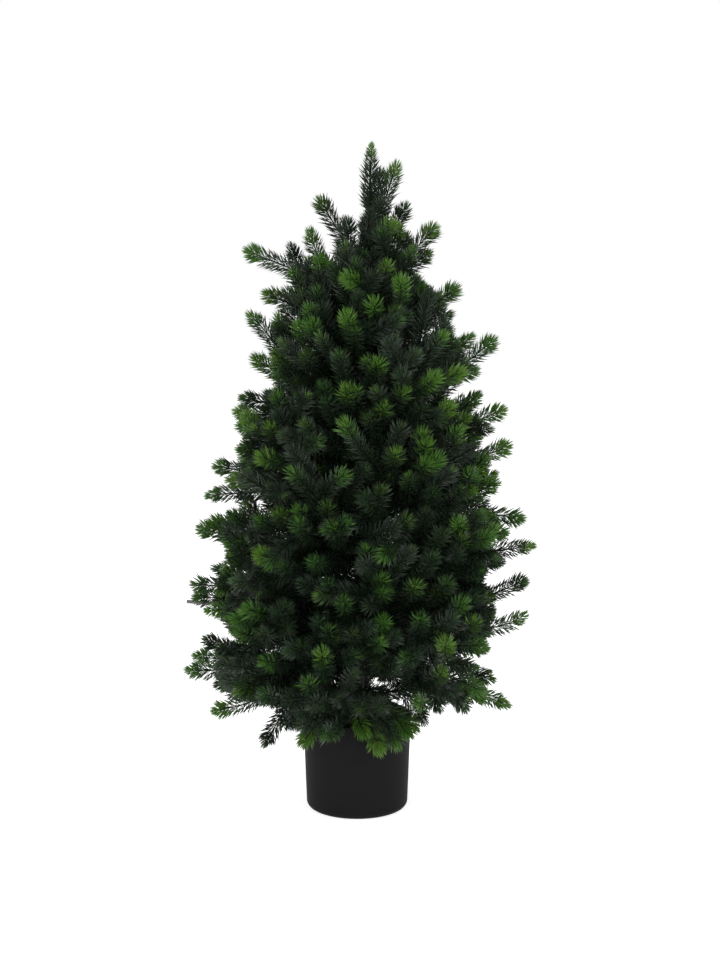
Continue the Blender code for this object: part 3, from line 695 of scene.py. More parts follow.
@dataclass
class CrownShape:
    """The crown's outline, its sway and the way its boughs and shoots rise with height.

    The tables' rows are in millimetres and degrees:
        outline: (radius, height), from the pot's rim round to the tip.
        sway: (height, how far the crown's middle stands off to +X).
        shoot_rise, bough_rise: (height, rise above level).
        sprigs: the tips that stand out at the sides, as (x, y, z, rise, freshness), where
        freshness runs from 0, dull to the tip, to 4; it holds the tip's own green with
        painted light on top: the high values brighten the tips at the silhouette as
        painted backlight, and the low tips hanging before the pot as painted front light.
        fronts: the tips that point out of the front, by where they are seen, as
        (x, z, slant, turn to the front, reach as a share, freshness), where freshness,
        as for the sprigs, holds painted light on each tip as well as its own green.
        sides: (height, left, right), within which every other tip is seen.
        gaps: (x, z) where the crown is seen to be open.
    """

    outline: Rows = metres(
        2,
        (86, 92), (130, 104), (195, 125), (222, 180), (232, 290), (220, 390), (194, 500),
        (162, 600), (134, 700), (100, 770), (58, 815), (20, 840),
    )
    sway: Rows = metres(2, (80, -30), (150, -12), (300, 0), (450, 6), (650, 14), (900, 18))
    shoot_rise: Rows = metres(
        1, (85, -56), (130, -18), (200, 2), (350, 14), (550, 28), (720, 46), (840, 68)
    )
    bough_rise: Rows = metres(
        1, (150, -16), (200, 0), (300, 12), (500, 26), (660, 44), (760, 58)
    )
    sprigs: Rows = metres(
        3,
        (54, 6, 876, 72, 3), (-130, -10, 83, -60, 0), (229, 10, 396, -11, 4),
        (-165, 15, 521, -5, 3), (151, -20, 134, -58, 1), (186, 0, 645, 45, 4),
        (-150, -10, 761, 25, 4), (-226, 10, 290, 5, 3), (11, -94, 120, -46, 4),
        (102, 20, 758, 32, 2), (184, -20, 522, -4, 1), (232, -15, 274, 38, 4),
        (-177, 20, 402, 20, 2), (-51, -6, 830, 63, 2), (-199, 10, 164, -15, 0),
        (-108, 20, 665, 30, 0), (183, 10, 216, -10, 4), (-80, -30, 134, -66, 0),
        (192, -15, 454, 30, 4), (12, 56, 806, 74, 1), (-174, -20, 248, -5, 3),
        (72, -92, 118, -56, 4), (203, 15, 336, -14, 0), (131, 15, 675, 18, 2),
        (212, 0, 138, -24, 4), (-90, 15, 770, 70, 0), (-197, 10, 470, 5, 3),
        (-143, 15, 619, 35, 4), (-225, -15, 215, 12, 4), (67, -12, 822, 62, 1),
        (-179, -10, 350, 5, 0), (169, 20, 570, 40, 4), (-219, 10, 385, 10, 4),
        (-159, -10, 565, 14, 2), (-128, 10, 703, 20, 3), (190, -10, 177, -18, 2),
        (235, 20, 314, 25, 2), (68, -20, 784, 70, 1), (113, -20, 134, -70, 1),
        (-205, -20, 433, -7, 3), (-32, -92, 117, -68, 2), (137, -10, 712, 32, 4),
        (32, -94, 96, -58, 4), (107, 10, 793, 48, 3), (243, -10, 365, 9, 3),
        (-64, 20, 790, 78, 4), (164, -10, 601, 10, 4), (203, 20, 547, 20, 4),
        (-239, 10, 188, 5, 4), (-146, -20, 679, 42, 3), (-75, -88, 106, -42, 4),
        (-200, 15, 330, 15, 2), (207, -20, 505, 32, 4), (158, 25, 648, 48, 4),
        (-200, -20, 137, -6, 4), (204, -30, 386, 2, 4), (-163, -15, 496, 10, 3),
        (-13, -48, 804, 84, 0), (-177, -25, 456, 5, 4), (-169, 15, 544, 10, 4),
        (33, 20, 867, 78, 1), (54, -90, 102, -74, 2), (80, -85, 124, -50, 3),
        (94, -50, 125, -52, 0), (-227, -10, 312, 8, 3), (-207, -30, 279, 0, 4),
        (182, -20, 158, -5, 4), (-214, 20, 231, 26, 1), (128, -20, 657, 35, 2),
        (-205, 15, 393, 5, 4), (58, -40, 795, 56, 3), (192, 15, 462, 30, 4),
    )
    fronts: Rows = metres(
        2,
        (52, 799, 38, 25, 1, 3), (177, 157, 340, 36, 1, 4), (-137, 403, 130, 46, 1, 2),
        (158, 467, 65, 46, 1, 3), (-71, 177, 110, 51, 1, 2), (-13, 582, 88, 41, 1, 3),
        (27, 342, 205, 41, 1, 3), (-89, 735, 120, 30, 1, 2), (-152, 544, 120, 41, 1, 4),
        (-176, 261, 175, 30, 1, 4), (147, 601, 30, 25, 1, 4), (149, 290, 65, 41, 1, 3),
        (-9, 460, 20, 46, 1, 3), (21, 696, 100, 46, 1, 3), (187, 375, 20, 35, 1, 4),
        (-61, 343, 120, 61, 1, 2), (-169, 163, 170, 36, 0.9, 3), (-94, 468, 140, 30, 1, 2),
        (81, 145, 130, 60, 1, 3), (74, 402, 45, 41, 1, 1), (56, 495, 65, 46, 1, 2),
        (-65, 669, 115, 38, 1, 3), (177, 227, 20, 36, 1, 3), (-18, 292, 90, 46, 1, 2),
        (81, 311, 80, 56, 1, 2), (141, 526, 60, 36, 1, 3), (-45, 507, 25, 46, 1, 1),
        (-10, 401, 60, 41, 1, 2), (137, 402, 95, 41, 1, 3), (122, 234, 90, 51, 1, 4),
        (29, 617, 85, 46, 1, 3), (-133, 204, 150, 46, 1, 3), (-84, 400, 112, 41, 1, 2),
        (-22, 727, 155, 35, 1, 4), (38, 234, 50, 46, 0.8, 2), (-139, 352, 150, 46, 1, 4),
        (-111, 571, 110, 46, 1, 2), (-50, 220, 100, 41, 1, 3), (36, 445, 75, 41, 1, 1),
        (-137, 488, 150, 30, 1, 3), (55, 727, 108, 36, 1, 4), (114, 489, 58, 30, 1, 4),
        (-17, 681, 110, 36, 1, 4), (75, 766, 75, 36, 1, 3), (-51, 754, 100, 35, 1, 4),
        (128, 560, 62, 35, 1, 4), (-23, 536, 122, 30, 1, 3), (113, 596, 45, 30, 1, 4),
        (121, 192, 60, 41, 0.9, 2), (166, 262, 55, 41, 1, 2), (-136, 158, 150, 46, 0.9, 2),
        (36, 558, 90, 46, 0.7, 2), (-36, 395, 110, 46, 1, 2), (-105, 412, 90, 51, 1, 2),
        (144, 379, 75, 46, 1, 2), (35, 262, 90, 56, 0.9, 4), (-159, 276, 165, 30, 1, 4),
        (88, 266, 80, 56, 0.7, 2), (67, 578, 60, 46, 0.7, 2), (103, 441, 90, 56, 0.6, 1),
        (97, 508, 70, 46, 0.8, 3), (39, 321, 60, 51, 0.8, 2), (-99, 285, 90, 46, 0.5, 0),
        (4, 211, 30, 51, 0.6, 1), (162, 438, 10, 46, 0.7, 2), (-48, 198, 100, 56, 0.8, 1),
        (-123, 329, 240, 46, 0.7, 2), (-78, 667, 100, 41, 1, 3), (-118, 531, 100, 46, 0.6, 2),
        (11, 363, 100, 46, 0.7, 2), (-40, 565, 90, 51, 0.6, 1), (-41, 314, 90, 56, 0.6, 1),
        (-78, 228, 100, 51, 0.6, 1), (67, 212, 90, 51, 0.5, 2), (104, 355, 80, 46, 0.4, 0),
        (-24, 627, 95, 46, 0.4, 1), (-53, 264, 100, 46, 0.4, 0), (-70, 627, 105, 46, 0.4, 1),
        (89, 522, 80, 46, 0.6, 2), (-54, 711, 100, 46, 0.4, 1), (54, 684, 80, 46, 0.4, 1),
        (127, 317, 70, 46, 0.4, 1), (8, 247, 80, 46, 0.4, 0), (-40, 422, 90, 46, 0.4, 1),
        (-45, 584, 90, 46, 0.4, 1), (-38, 253, 90, 46, 0.4, 1),
    )
    sides: Rows = metres(
        3,
        (80, -70, 67), (95, -85, 71), (110, -95, 79), (125, -85, 82), (140, -105, 115),
        (150, -178, 165), (180, -200, 174), (210, -200, 160), (250, -174, 192),
        (290, -197, 191), (320, -190, 168), (350, -177, 192), (390, -185, 200),
        (430, -168, 170), (490, -158, 180), (550, -154, 162), (580, -118, 141),
        (620, -115, 155), (660, -120, 123), (700, -105, 118), (730, -90, 78), (760, -78, 84),
        (772, -54, 68), (785, -26, 48), (795, -2, 38), (810, 12, 34), (840, 13, 30),
    )
    gaps: Rows = metres(
        2,
        (2, 785), (-39, 777), (-20, 776), (-47, 760), (33, 839), (150, 627), (48, 763),
        (101, 654), (137, 567), (159, 548), (-172, 234), (-164, 145), (-33, 176), (22, 172),
        (55, 148), (38, 169), (55, 180), (-75, 190), (1, 772), (57, 764), (-28, 795),
        (-62, 782), (64, 197), (97, 198), (-112, 218), (127, 182), (-157, 412), (-155, 325),
    )
    gap_radius: float = 0.0105
    front_spacing: float = 0.015
    front_depth: Pair = (0.93, 0.05)
    front_search: Numbers = (0.88, 0.995, 0.002)
    pot_front: Pair = (0.085, 0.128)
    heart: Place = (0.0, 0.0, 0.40)
    draw_steps: int = 30
    draw_step: float = 0.03
    depths: Numbers = (1.0, 0.97, 0.94, 0.86, 0.50)
    inner_depths: Numbers = (0.24, 0.36, 0.50, 0.66)
    back_from: float = -0.3
    proud: float = 1.04
    shy: float = 0.96
    flattening: float = 0.07
    rise_scatter: Pair = (-24, 28)
    swing_scatter: Pair = (-52, 52)
    # Turns a placed tip's freshness, painted light included, into a share.
    tone_step: float = 0.3

    def outline_at(self, share: float) -> Pair:
        """(radius, height) on the outline with this share of the crown's surface before it."""
        areas = [0.0]
        for (r0, z0), (r1, z1) in zip(self.outline, self.outline[1:]):
            areas.append(areas[-1] + (r0 + r1) / 2 * math.hypot(r1 - r0, z1 - z0))
        wanted = share * areas[-1]
        radius = float(np.interp(wanted, areas, [r for r, _ in self.outline]))
        return radius, float(np.interp(wanted, areas, [z for _, z in self.outline]))

    def inside(self, point: Vector, depth: float = 1.0) -> bool:
        """True if the point is within the crown's side wall, or a share of its radius."""
        reach = math.hypot(point.x - between(self.sway, point.z), point.y)
        return reach < depth * between(self.outline, point.z, at=1, of=0)

    def seen(self, point: Vector) -> Vector:
        """Where a point is seen from the front, on the upright plane through the trunk."""
        eye = Vector(EYE)
        return eye + (point - eye) * (-eye.y / (point.y - eye.y))

    def covers_gap(self, path: Path) -> bool:
        """True if a shoot's axis is seen to cross one of the open gaps."""
        fine = [a.lerp(b, share) for a, b in zip(path, path[1:]) for share in (0.0, 0.5)]
        spots = [self.seen(point).xz for point in fine]
        return any(
            (spot - Vector(gap)).length < self.gap_radius for gap in self.gaps for spot in spots
        )

    def short_of_gaps(self, stem: Path) -> Path:
        """A stem, ended before its outer half is seen to cross one of the open gaps."""
        for i in range(len(stem) // 2, len(stem)):
            if self.covers_gap(stem[i - 1 : i + 1]):
                return stem[:i]
        return stem

    def in_sight(self, point: Vector) -> bool:
        """True if a point is seen inside the front view's sides."""
        seen = self.seen(point)
        left, right = (between(self.sides, seen.z, of=side) for side in (1, 2))
        return left < seen.x < right and seen.z > self.sides[0][0]

    def drawn_in(self, tip: Vector) -> Vector:
        """Draws a tip towards the crown's heart until it is seen inside the front view's sides."""
        for _ in range(self.draw_steps):
            if self.in_sight(tip):
                break
            tip = tip.lerp(Vector(self.heart), self.draw_step)
        return tip

    def on_front(self, x: float, z: float, depth: float) -> Vector:
        """The crown's surface where it is seen at a spot of the upright plane through the trunk."""
        eye, spot = Vector(EYE), Vector((x, 0.0, z))
        share, last, step = self.front_search
        while share < last and not self.inside(eye + (spot - eye) * share, depth):
            share += step
        return eye + (spot - eye) * share

    def near_front(self, tip: Vector) -> bool:
        """True if a tip is seen close to one of the front shoots' tips, or before the pot."""
        seen = self.seen(tip)
        if tip.y < 0 and seen.z < self.pot_front[1] and abs(seen.x) < self.pot_front[0]:
            return True
        return tip.y < 0 and any(
            math.hypot(seen.x - x, seen.z - z) < self.front_spacing for x, z, *_ in self.fronts
        )

    def plan(self, outer: int, inner: int) -> list[Wish]:
        """All side shoots in order."""
        wishes: list[Wish] = [(Kind.SPRIG, row) for row in self.sprigs]
        wishes += [(Kind.FRONT, row) for row in self.fronts]
        wishes += [(Kind.OUTER, (number,)) for number in range(outer)]
        return wishes + [(Kind.INNER, (number,)) for number in range(outer, outer + inner)]

    def target(self, wish: Wish, rng: random.Random) -> tuple[Vector, Vector]:
        """Where a side shoot ends and the way it points.

        Args:
            wish: The wanted shoot.
            rng: The crown's random stream.

        Returns:
            The tip and the heading.
        """
        kind, row = wish
        if kind is Kind.SPRIG:
            x, y, z, rise, _ = row
            azimuth = math.atan2(y, x - between(self.sway, z))
            return Vector((x, y, z)), heading(azimuth, math.radians(rise))
        if kind is Kind.FRONT:
            x, z, slant, toward, strength, _ = row
            level, toward = math.radians(slant), math.radians(toward)
            flat, least = math.cos(toward), self.front_depth[0]
            ahead = Vector((math.cos(level) * flat, -math.sin(toward), math.sin(level) * flat))
            return self.on_front(x, z, least + self.front_depth[1] * strength), ahead
        radius, height = self.outline_at((0.5 + row[0] * EVEN_STEP) % 1.0)
        azimuth = 2 * math.pi * ((0.5 + row[0] * EVEN_TURN) % 1.0)
        depth = rng.choice(self.inner_depths if kind is Kind.INNER else self.depths)
        if math.sin(azimuth) > self.back_from:
            depth *= self.proud if depth == 1.0 else self.shy
        depth *= 1 - self.flattening * abs(math.cos(azimuth)) ** 3
        rise = between(self.shoot_rise, height) + rng.uniform(*self.rise_scatter)
        swing = math.radians(rng.uniform(*self.swing_scatter))
        reach = radius * depth
        middle = between(self.sway, height)
        tip = Vector((middle + reach * math.cos(azimuth), reach * math.sin(azimuth), height))
        return self.drawn_in(tip), heading(azimuth + swing, math.radians(rise))


@dataclass
class Shoot:
    """One shoot and what its needles need to know, in metres or as shares.

    Its axis, where its needles start on it, its tone, how far back its tip is green, over
    what length its needles shorten to the tip, to what share, how dull its tip is, which
    for the placed tips holds painted light too, and how far apart its needles stand
    against the usual step.
    """

    path: Path
    needles_from: float
    tone: int
    green: float
    taper: float = 0.012
    blunt: float = 0.64
    fade: float = 0.0
    step: float = 1.0


@dataclass
class Branch:
    """One branch: its bare bough if it has one, its stem, and the shoots that grow from it."""

    node: str
    stem: Path
    bough_node: str = ""
    bough: Path = field(default_factory=list)
    shoots: list[Shoot] = field(default_factory=list)


@dataclass
class Crown:
    """All branches: the part's rule for boughs and shoots, carried on to many more shoots."""

    trunk: Trunk
    planter: Planter
    shape: CrownShape = field(default_factory=CrownShape)
    masses: int = 36
    bare_boughs: int = 18
    lowest: float = 0.150
    highest: float = 0.738
    crowding: float = 1.12
    first_turn: float = 2.1
    bough_radius: float = 0.0026
    bough_tip_radius: float = 0.0019
    bare_share: float = 0.20
    upturn: float = math.radians(14)
    overhang: float = 0.026
    reach_search: Pair = (0.02, 0.002)
    axis_steps: int = 12
    bough_steps: int = 8
    stem_steps: int = 14
    leader_steps: int = 8
    joint_gap: float = 0.0003
    shoot_length: float = 0.082
    forward_slant: float = 0.8
    leave_parts: int = 40
    leave_limits: Pair = (0.008, 0.88)
    straightness: float = 0.55
    clearance: Pair = (0.004, 0.005)
    further_shoots: int = 900
    inner_shoots: int = 440
    tries: int = 4
    bare_stem: float = 0.010
    bare_shoot: float = 0.012
    fades: Numbers = (0.0, 0.0, 0.0, 0.15, 0.3, 0.5)
    tapers: Numbers = (0.008, 0.010, 0.012, 0.016, 0.024)
    green: Pair = (0.018, 0.036)
    dark_share: float = 0.22
    dark_green: float = 0.006
    # The placed tips' green and dulling follow their freshness, which holds painted light as well
    # as their own green.
    fresh_green: Pair = (0.012, 0.020)
    dullest: float = 0.8
    facing: float = -0.3
    facing_green: float = 0.015
    facing_fades: Pair = (0.3, 1.0)
    blunt_front: Numbers = (-0.08, 0.005, 0.86)
    leader_point: Pair = (0.042, 0.36)
    leader_step: float = 0.5
    leader_green: float = 0.026
    seed: int = 7
    branches: list[Branch] = field(default_factory=list)

    def bough(self, number: int) -> Path:
        """The whole axis of one branch, from the trunk's surface to the crown's outline."""
        share = (number + 0.5) / self.masses
        height = self.lowest + (self.highest - self.lowest) * share**self.crowding
        azimuth = self.first_turn + number * GOLDEN_TURN
        rise = math.radians(between(self.shape.bough_rise, height))
        foot = self.bough_radius if number < self.bare_boughs else self.bough_tip_radius
        stand_off = self.trunk.radius(height) + self.joint_gap + foot * abs(math.sin(rise))
        start = self.trunk.point(height) + heading(azimuth, 0) * stand_off
        reach, step = self.reach_search
        out = heading(azimuth, rise + self.upturn / 2)
        while self.shape.inside(
            start + out * (reach + self.overhang / 3)
        ) and self.shape.in_sight(start + out * reach):
            reach += step
        control = start + heading(azimuth, rise) * reach / 2
        return bezier(start, control, start + out * reach, self.axis_steps)

    def shoot_path(self, tip: Vector, ahead: Vector, stem: Path) -> Path:
        """A side shoot's axis, from a forward slant on the stem to its tip."""
        root_of_needles = tip - ahead * self.shoot_length
        total, parts = length_of(stem), self.leave_parts
        spots = [point_at(stem, total * i / parts) for i in range(parts + 1)]
        apart = [(spot - root_of_needles).length for spot in spots]
        nearest = min(range(parts + 1), key=apart.__getitem__)
        leave = total * nearest / parts - self.forward_slant * apart[nearest]
        first, last = self.leave_limits
        start = point_at(stem, max(first, min(last * total, leave)))
        span = (tip - start).length
        return bezier(start, tip - ahead * span * self.straightness, tip, self.axis_steps)

    def clear(self, path: Path) -> bool:
        """True if a shoot's axis keeps off the trunk and the pot."""
        off, beside = self.clearance
        for point in path:
            low = point.z < self.planter.height + off
            if low and point.xy.length < self.planter.rim_radius + beside:
                return False
            middle = self.trunk.point(point.z)
            if (point - middle).xy.length < self.trunk.radius(point.z) + off:
                return False
        return True

    def grow(self) -> None:
        """Plans every branch and shoot."""
        rng, tones = random.Random(self.seed), random.Random(self.seed + 1)
        for number in range(self.masses):
            axis = self.bough(number)
            total = length_of(axis)
            bare = self.bare_share * total if number < self.bare_boughs else 0.0
            label = f"{number + 1:02d}"
            branch = Branch(f"needles_{label}", cut_path(axis, bare, total, self.stem_steps))
            if bare:
                branch.bough_node = f"bough_{label}"
                branch.bough = cut_path(axis, 0, bare, self.bough_steps)
            self.branches.append(branch)
        heights = spread(self.trunk.top, self.trunk.tree_height, self.leader_steps)
        leader = [self.trunk.point(height) for height in heights]
        self.branches.append(Branch("needles_leader", leader))
        for branch in self.branches:
            stem = self.shape.short_of_gaps(branch.stem)
            tone = tones.randrange(TONES)
            branch.shoots.append(Shoot(stem, self.bare_stem, tone, self.green_length(tones)))
        point = self.branches[-1].shoots[0]
        point.taper, point.blunt = self.leader_point
        point.step, point.green = self.leader_step, self.leader_green
        middles = [point_at(b.stem, 0.5 * length_of(b.stem)) for b in self.branches]
        for wish in self.shape.plan(self.further_shoots, self.inner_shoots):
            self.add_shoot(wish, middles, rng, tones)

    def add_shoot(
        self, wish: Wish, middles: Path, rng: random.Random, tones: random.Random
    ) -> None:
        """Grows one side shoot from the first branch near it that can carry it.

        Args:
            wish: The wanted shoot.
            middles: The middle of each branch's stem.
            rng: The stream for places.
            tones: The stream for tones.
        """
        kind, row = wish
        placed = kind in (Kind.SPRIG, Kind.FRONT)
        end, ahead = self.shape.target(wish, rng)
        if not placed and self.shape.near_front(end):
            return
        base = end - ahead * self.shoot_length
        order = sorted(range(len(middles)), key=lambda i: (middles[i] - base).length)
        paths = [
            (i, self.shoot_path(end, ahead, self.branches[i].stem)) for i in order[: self.tries]
        ]
        if placed:
            paths.sort(key=lambda item: self.shape.covers_gap(item[1]))
        for i, path in paths:
            if self.clear(path) and (placed or not self.shape.covers_gap(path)):
                # A placed tip's freshness holds painted light as well as its own green.
                fresh_and_painted_light = self.shape.tone_step * row[-1] if placed else None
                self.branches[i].shoots.append(self.dressed(kind, path, fresh_and_painted_light, tones))
                return

    def dressed(
        self, kind: Kind, path: Path, fresh_and_painted_light: float | None, tones: random.Random
    ) -> Shoot:
        """Gives a side shoot its tone, the green of its tip and the shape of its rosette.

        Args:
            kind: The shoot's kind.
            path: Its axis.
            fresh_and_painted_light: How green its tip is, painted light included, or None to draw
                it.
            tones: The stream for tones.

        Returns:
            The shoot.
        """
        end = path[-1]
        green = 0.0 if kind is Kind.INNER else self.green_length(tones)
        fade = tones.choice(self.fades)
        # Painted light: a freshness above 1 makes the fade fall below zero and lifts the tip
        # towards the bright shades.
        if fresh_and_painted_light is not None:
            green = self.fresh_green[0] + self.fresh_green[1] * fresh_and_painted_light
            fade = self.dullest * (1.0 - fresh_and_painted_light)
        elif end.y < self.facing * end.xy.length:
            green, fade = min(green, self.facing_green), tones.uniform(*self.facing_fades)
        taper = tones.choice(self.tapers)
        tone = tones.randrange(TONES)
        shoot = Shoot(path, self.bare_shoot, tone, green, taper, fade=fade, step=kind.value)
        front, taper, blunt = self.blunt_front
        if fresh_and_painted_light is not None and end.y < front:
            shoot.taper, shoot.blunt = taper, blunt
        return shoot

    def green_length(self, tones: random.Random) -> float:
        """How far back from its tip a shoot is bright green; a few are dark to the tip."""
        return tones.uniform(*self.green) if tones.random() > self.dark_share else self.dark_green


# --- needles ---

# The needles' colours in ten-thousandths: four steps from dark to bright green, each in every tone.
NEEDLE_COLOURS = (
    ("blue_dark", 155, 290, 162), ("green_dark", 180, 350, 150), ("black_green", 135, 240, 126),
    ("mid_blue", 182, 380, 162), ("mid_green", 205, 440, 163), ("mid_olive", 235, 450, 148),
    ("light_soft", 290, 710, 190), ("light_green", 340, 820, 175),
    ("light_olive", 385, 830, 160), ("fresh_soft", 540, 1350, 205),
    ("fresh_green", 700, 1640, 215), ("fresh_yellow", 860, 1810, 240),
)


@dataclass(frozen=True)
class Scatter:
    """The limits of a random value for each needle, and what it adds to its set's seed."""

    low: float
    high: float
    number: int


@dataclass
class NeedledShoots:
    """Needles set in a spiral round the shoots, leaning forward and closing to a rosette."""

    spacing: float = 0.00062
    rosette_spacing: float = 0.00045
    rosette_length: float = 0.0175
    reach: float = 0.80
    length: float = 0.0208
    width: float = 0.00138
    fold: float = 0.0015
    widest: float = 0.58
    side_angle: float = math.radians(47)
    tip_angle: float = math.radians(12)
    closing: float = 0.009
    roll: Scatter = Scatter(-0.25, 0.25, 0)
    lean: Scatter = Scatter(-0.18, 0.18, 1)
    size: Scatter = Scatter(0.84, 1.08, 2)
    chance: Scatter = Scatter(-0.35, 0.35, 5)
    limits: Numbers = (1.20, 0.70, 0.36)
    steps: int = 12
    curve_points: int = 24
    seed: int = 11
    rosette_seed: int = 21
    shades: tuple[PlainFinish, ...] = tuple(
        PlainFinish(f"needle_{name}", (red / 10000, green / 10000, blue / 10000))
        for name, red, green, blue in NEEDLE_COLOURS
    )

    def sizes(self) -> dict[str, float]:
        """The tree's lengths in metres and angles in radians, by input name."""
        return {
            "Needle Spacing": self.spacing,
            "Rosette Spacing": self.rosette_spacing,
            "Rosette Length": self.rosette_length,
            "Closing Length": self.closing,
            "Side Angle": self.side_angle,
            "Tip Angle": self.tip_angle,
        }

    def needle(self) -> bpy.types.Object:
        """One needle along Z: a slim folded blade of four faces, widest past its middle."""
        across, middle = self.width / 2, self.widest * self.length
        points = [(0.0, 0.0, 0.0), (0.0, 0.0, self.length)]
        points += [(self.fold, across, middle), (self.fold, -across, middle)]
        faces = [(0, 2, 3), (1, 3, 2), (0, 1, 2), (0, 3, 1)]
        return place("one_needle", mesh_of("one_needle", points, [], faces))

    def spiral(self, web: GeometryTree, curve: Any, spacing: Any, seed: int) -> Any:
        """Sets needles along curves.

        Args:
            web: The tree.
            curve: The curves' socket.
            spacing: The step from one needle to the next.
            seed: Keeps this set's scatter apart from the others'.

        Returns:
            The instances' socket.
        """

        def scatter(limits: Scatter) -> Any:
            """A random value for each needle."""
            kind, own = "FunctionNodeRandomValue", seed + limits.number
            return web.out(kind, Min=limits.low, Max=limits.high, Seed=own, data_type="FLOAT")

        def turn(way: Any, axis: Place, angle: Any) -> Any:
            """Turns a rotation about one of its own axes."""
            spin = web.out("FunctionNodeAxisAngleToRotation", Axis=axis, Angle=angle)
            rotate = "FunctionNodeRotateRotation"
            return web.out(rotate, Rotation=way, Rotate_By=spin, rotation_space="LOCAL")

        spacing = web.math("MULTIPLY", spacing, web.fact("step"))
        curve = web.out("GeometryNodeResampleCurve", Curve=curve, Length=spacing, mode="LENGTH")
        row = web.add("GeometryNodeSplineParameter").outputs["Index"]
        curve = web.keep(curve, "row", row)
        curve = web.keep(curve, "chance", scatter(self.chance))
        points = web.add("GeometryNodeCurveToPoints", Curve=curve, mode="EVALUATED")
        roll = web.math("MULTIPLY", web.fact("row"), NEEDLE_TURN)
        roll = web.math("ADD", roll, scatter(self.roll))
        to_tip, closing = web.fact("to_tip"), web.size("Closing Length")
        lean = web.add("ShaderNodeMapRange", Value=to_tip, From_Min=0.0, From_Max=closing)
        web.feed(lean, To_Min=web.size("Tip Angle"), To_Max=web.size("Side Angle"))
        lean = web.math("ADD", lean.outputs[0], scatter(self.lean))
        taper, blunt = web.fact("taper"), web.fact("blunt")
        size = web.out("ShaderNodeMapRange", Value=to_tip, From_Max=taper, To_Min=blunt)
        size = web.math("MULTIPLY", size, scatter(self.size))
        rotation = turn(points.outputs["Rotation"], (0.0, 0.0, 1.0), roll)
        rotation = turn(rotation, (0.0, 1.0, 0.0), lean)
        needle = web.add("GeometryNodeObjectInfo", Object=web.size("Needle")).outputs["Geometry"]
        copies = web.add("GeometryNodeInstanceOnPoints", Points=points.outputs["Points"])
        web.feed(copies, Instance=needle, Rotation=rotation, Scale=size)
        return copies.outputs[0]

    def tree(self, materials: Sequence[bpy.types.Material]) -> GeometryTree:
        """Builds the Geometry Nodes tree: paths in, needles in their shades out."""
        floats = dict.fromkeys(self.sizes(), "NodeSocketFloat")
        web = GeometryTree.start("needled_shoots", {"Needle": "NodeSocketObject", **floats})
        curve = web.out("GeometryNodeMeshToCurve", Mesh=web.size("Geometry"))
        count = self.curve_points
        curve = web.out("GeometryNodeResampleCurve", Curve=curve, Count=count, mode="COUNT")
        total = web.add("GeometryNodeSplineLength").outputs["Length"]
        along = web.add("GeometryNodeSplineParameter").outputs["Length"]
        curve = web.keep(curve, "to_tip", web.math("SUBTRACT", total, along))
        body = self.spiral(web, curve, web.size("Needle Spacing"), self.seed)
        last = web.math("SUBTRACT", total, web.size("Rosette Length"))
        end = web.out("GeometryNodeTrimCurve", Curve=curve, Start=last, End=total, mode="LENGTH")
        rosette = self.spiral(web, end, web.size("Rosette Spacing"), self.rosette_seed)
        join = web.add("GeometryNodeJoinGeometry")
        for part in (body, rosette):
            web.tree.links.new(part, join.inputs[0])
        needles = web.out("GeometryNodeRealizeInstances", Geometry=join.outputs[0])
        shade = self.shade_number(web)
        for number, material in enumerate(materials):
            match = web.add("FunctionNodeCompare", data_type="FLOAT", operation="EQUAL")
            web.feed(match, A=shade, B=float(number), Epsilon=0.4)
            dressed = web.add("GeometryNodeSetMaterial", Geometry=needles, Material=material)
            web.feed(dressed, Selection=match.outputs[0])
            needles = dressed.outputs[0]
        web.add("NodeGroupOutput", Geometry=needles)
        return web

    def shade_number(self, web: GeometryTree) -> Any:
        """The number of a needle's shade: its shoot's tone, and dark, mid or bright green by its
        place.
        """
        above_zero = 0.0001
        green = web.math("MAXIMUM", web.fact("green"), above_zero)
        share = web.math("DIVIDE", web.fact("to_tip"), green)
        # The fade of the placed tips holds painted light: below zero it moves their needles towards
        # the bright shades.
        for name in ("chance", "fade"):
            share = web.math("ADD", share, web.fact(name))
        level = web.fact("tone")
        for limit in self.limits:
            step = web.math("MULTIPLY", web.math("LESS_THAN", share, limit), float(TONES))
            level = web.math("ADD", level, step)
        return level

    def axis(self, shoot: Shoot) -> Path:
        """The part of a shoot's axis that needles stand on."""
        last = length_of(shoot.path) - self.reach * shoot.blunt * self.length
        return cut_path(shoot.path, shoot.needles_from, last, self.steps)

    def build(self, crown: Crown, tiers: int) -> None:
        """Makes the needle pieces, one for each tier of branches.

        Args:
            crown: The planned crown.
            tiers: How many pieces to make.
        """
        template = self.needle()
        web = self.tree([shade.material() for shade in self.shades])
        values = {"Needle": template, **self.sizes()}
        for tier, branches in enumerate(split_evenly(crown.branches, tiers), 1):
            shoots = [shoot for branch in branches for shoot in branch.shoots]
            facts = {
                fact: [[float(getattr(shoot, fact))] * (self.steps + 1) for shoot in shoots]
                for fact in ("tone", "green", "taper", "blunt", "fade", "step")
            }
            name = f"needles_tier_{tier}"
            source = path_mesh(name, [self.axis(shoot) for shoot in shoots], facts)
            piece = web.apply(source, values, name)
            finish_piece(piece, [branch.node for branch in branches])
        bpy.data.objects.remove(template)


def split_evenly(branches: Sequence[Branch], count: int) -> list[list[Branch]]:
    """Splits the branches, lowest first, into groups with about the same number of shoots."""
    total = sum(len(branch.shoots) for branch in branches)
    groups: list[list[Branch]] = [[] for _ in range(count)]
    passed = 0
    for branch in branches:
        groups[min(count - 1, passed * count // total)].append(branch)
        passed += len(branch.shoots)
    return [group for group in groups if group]


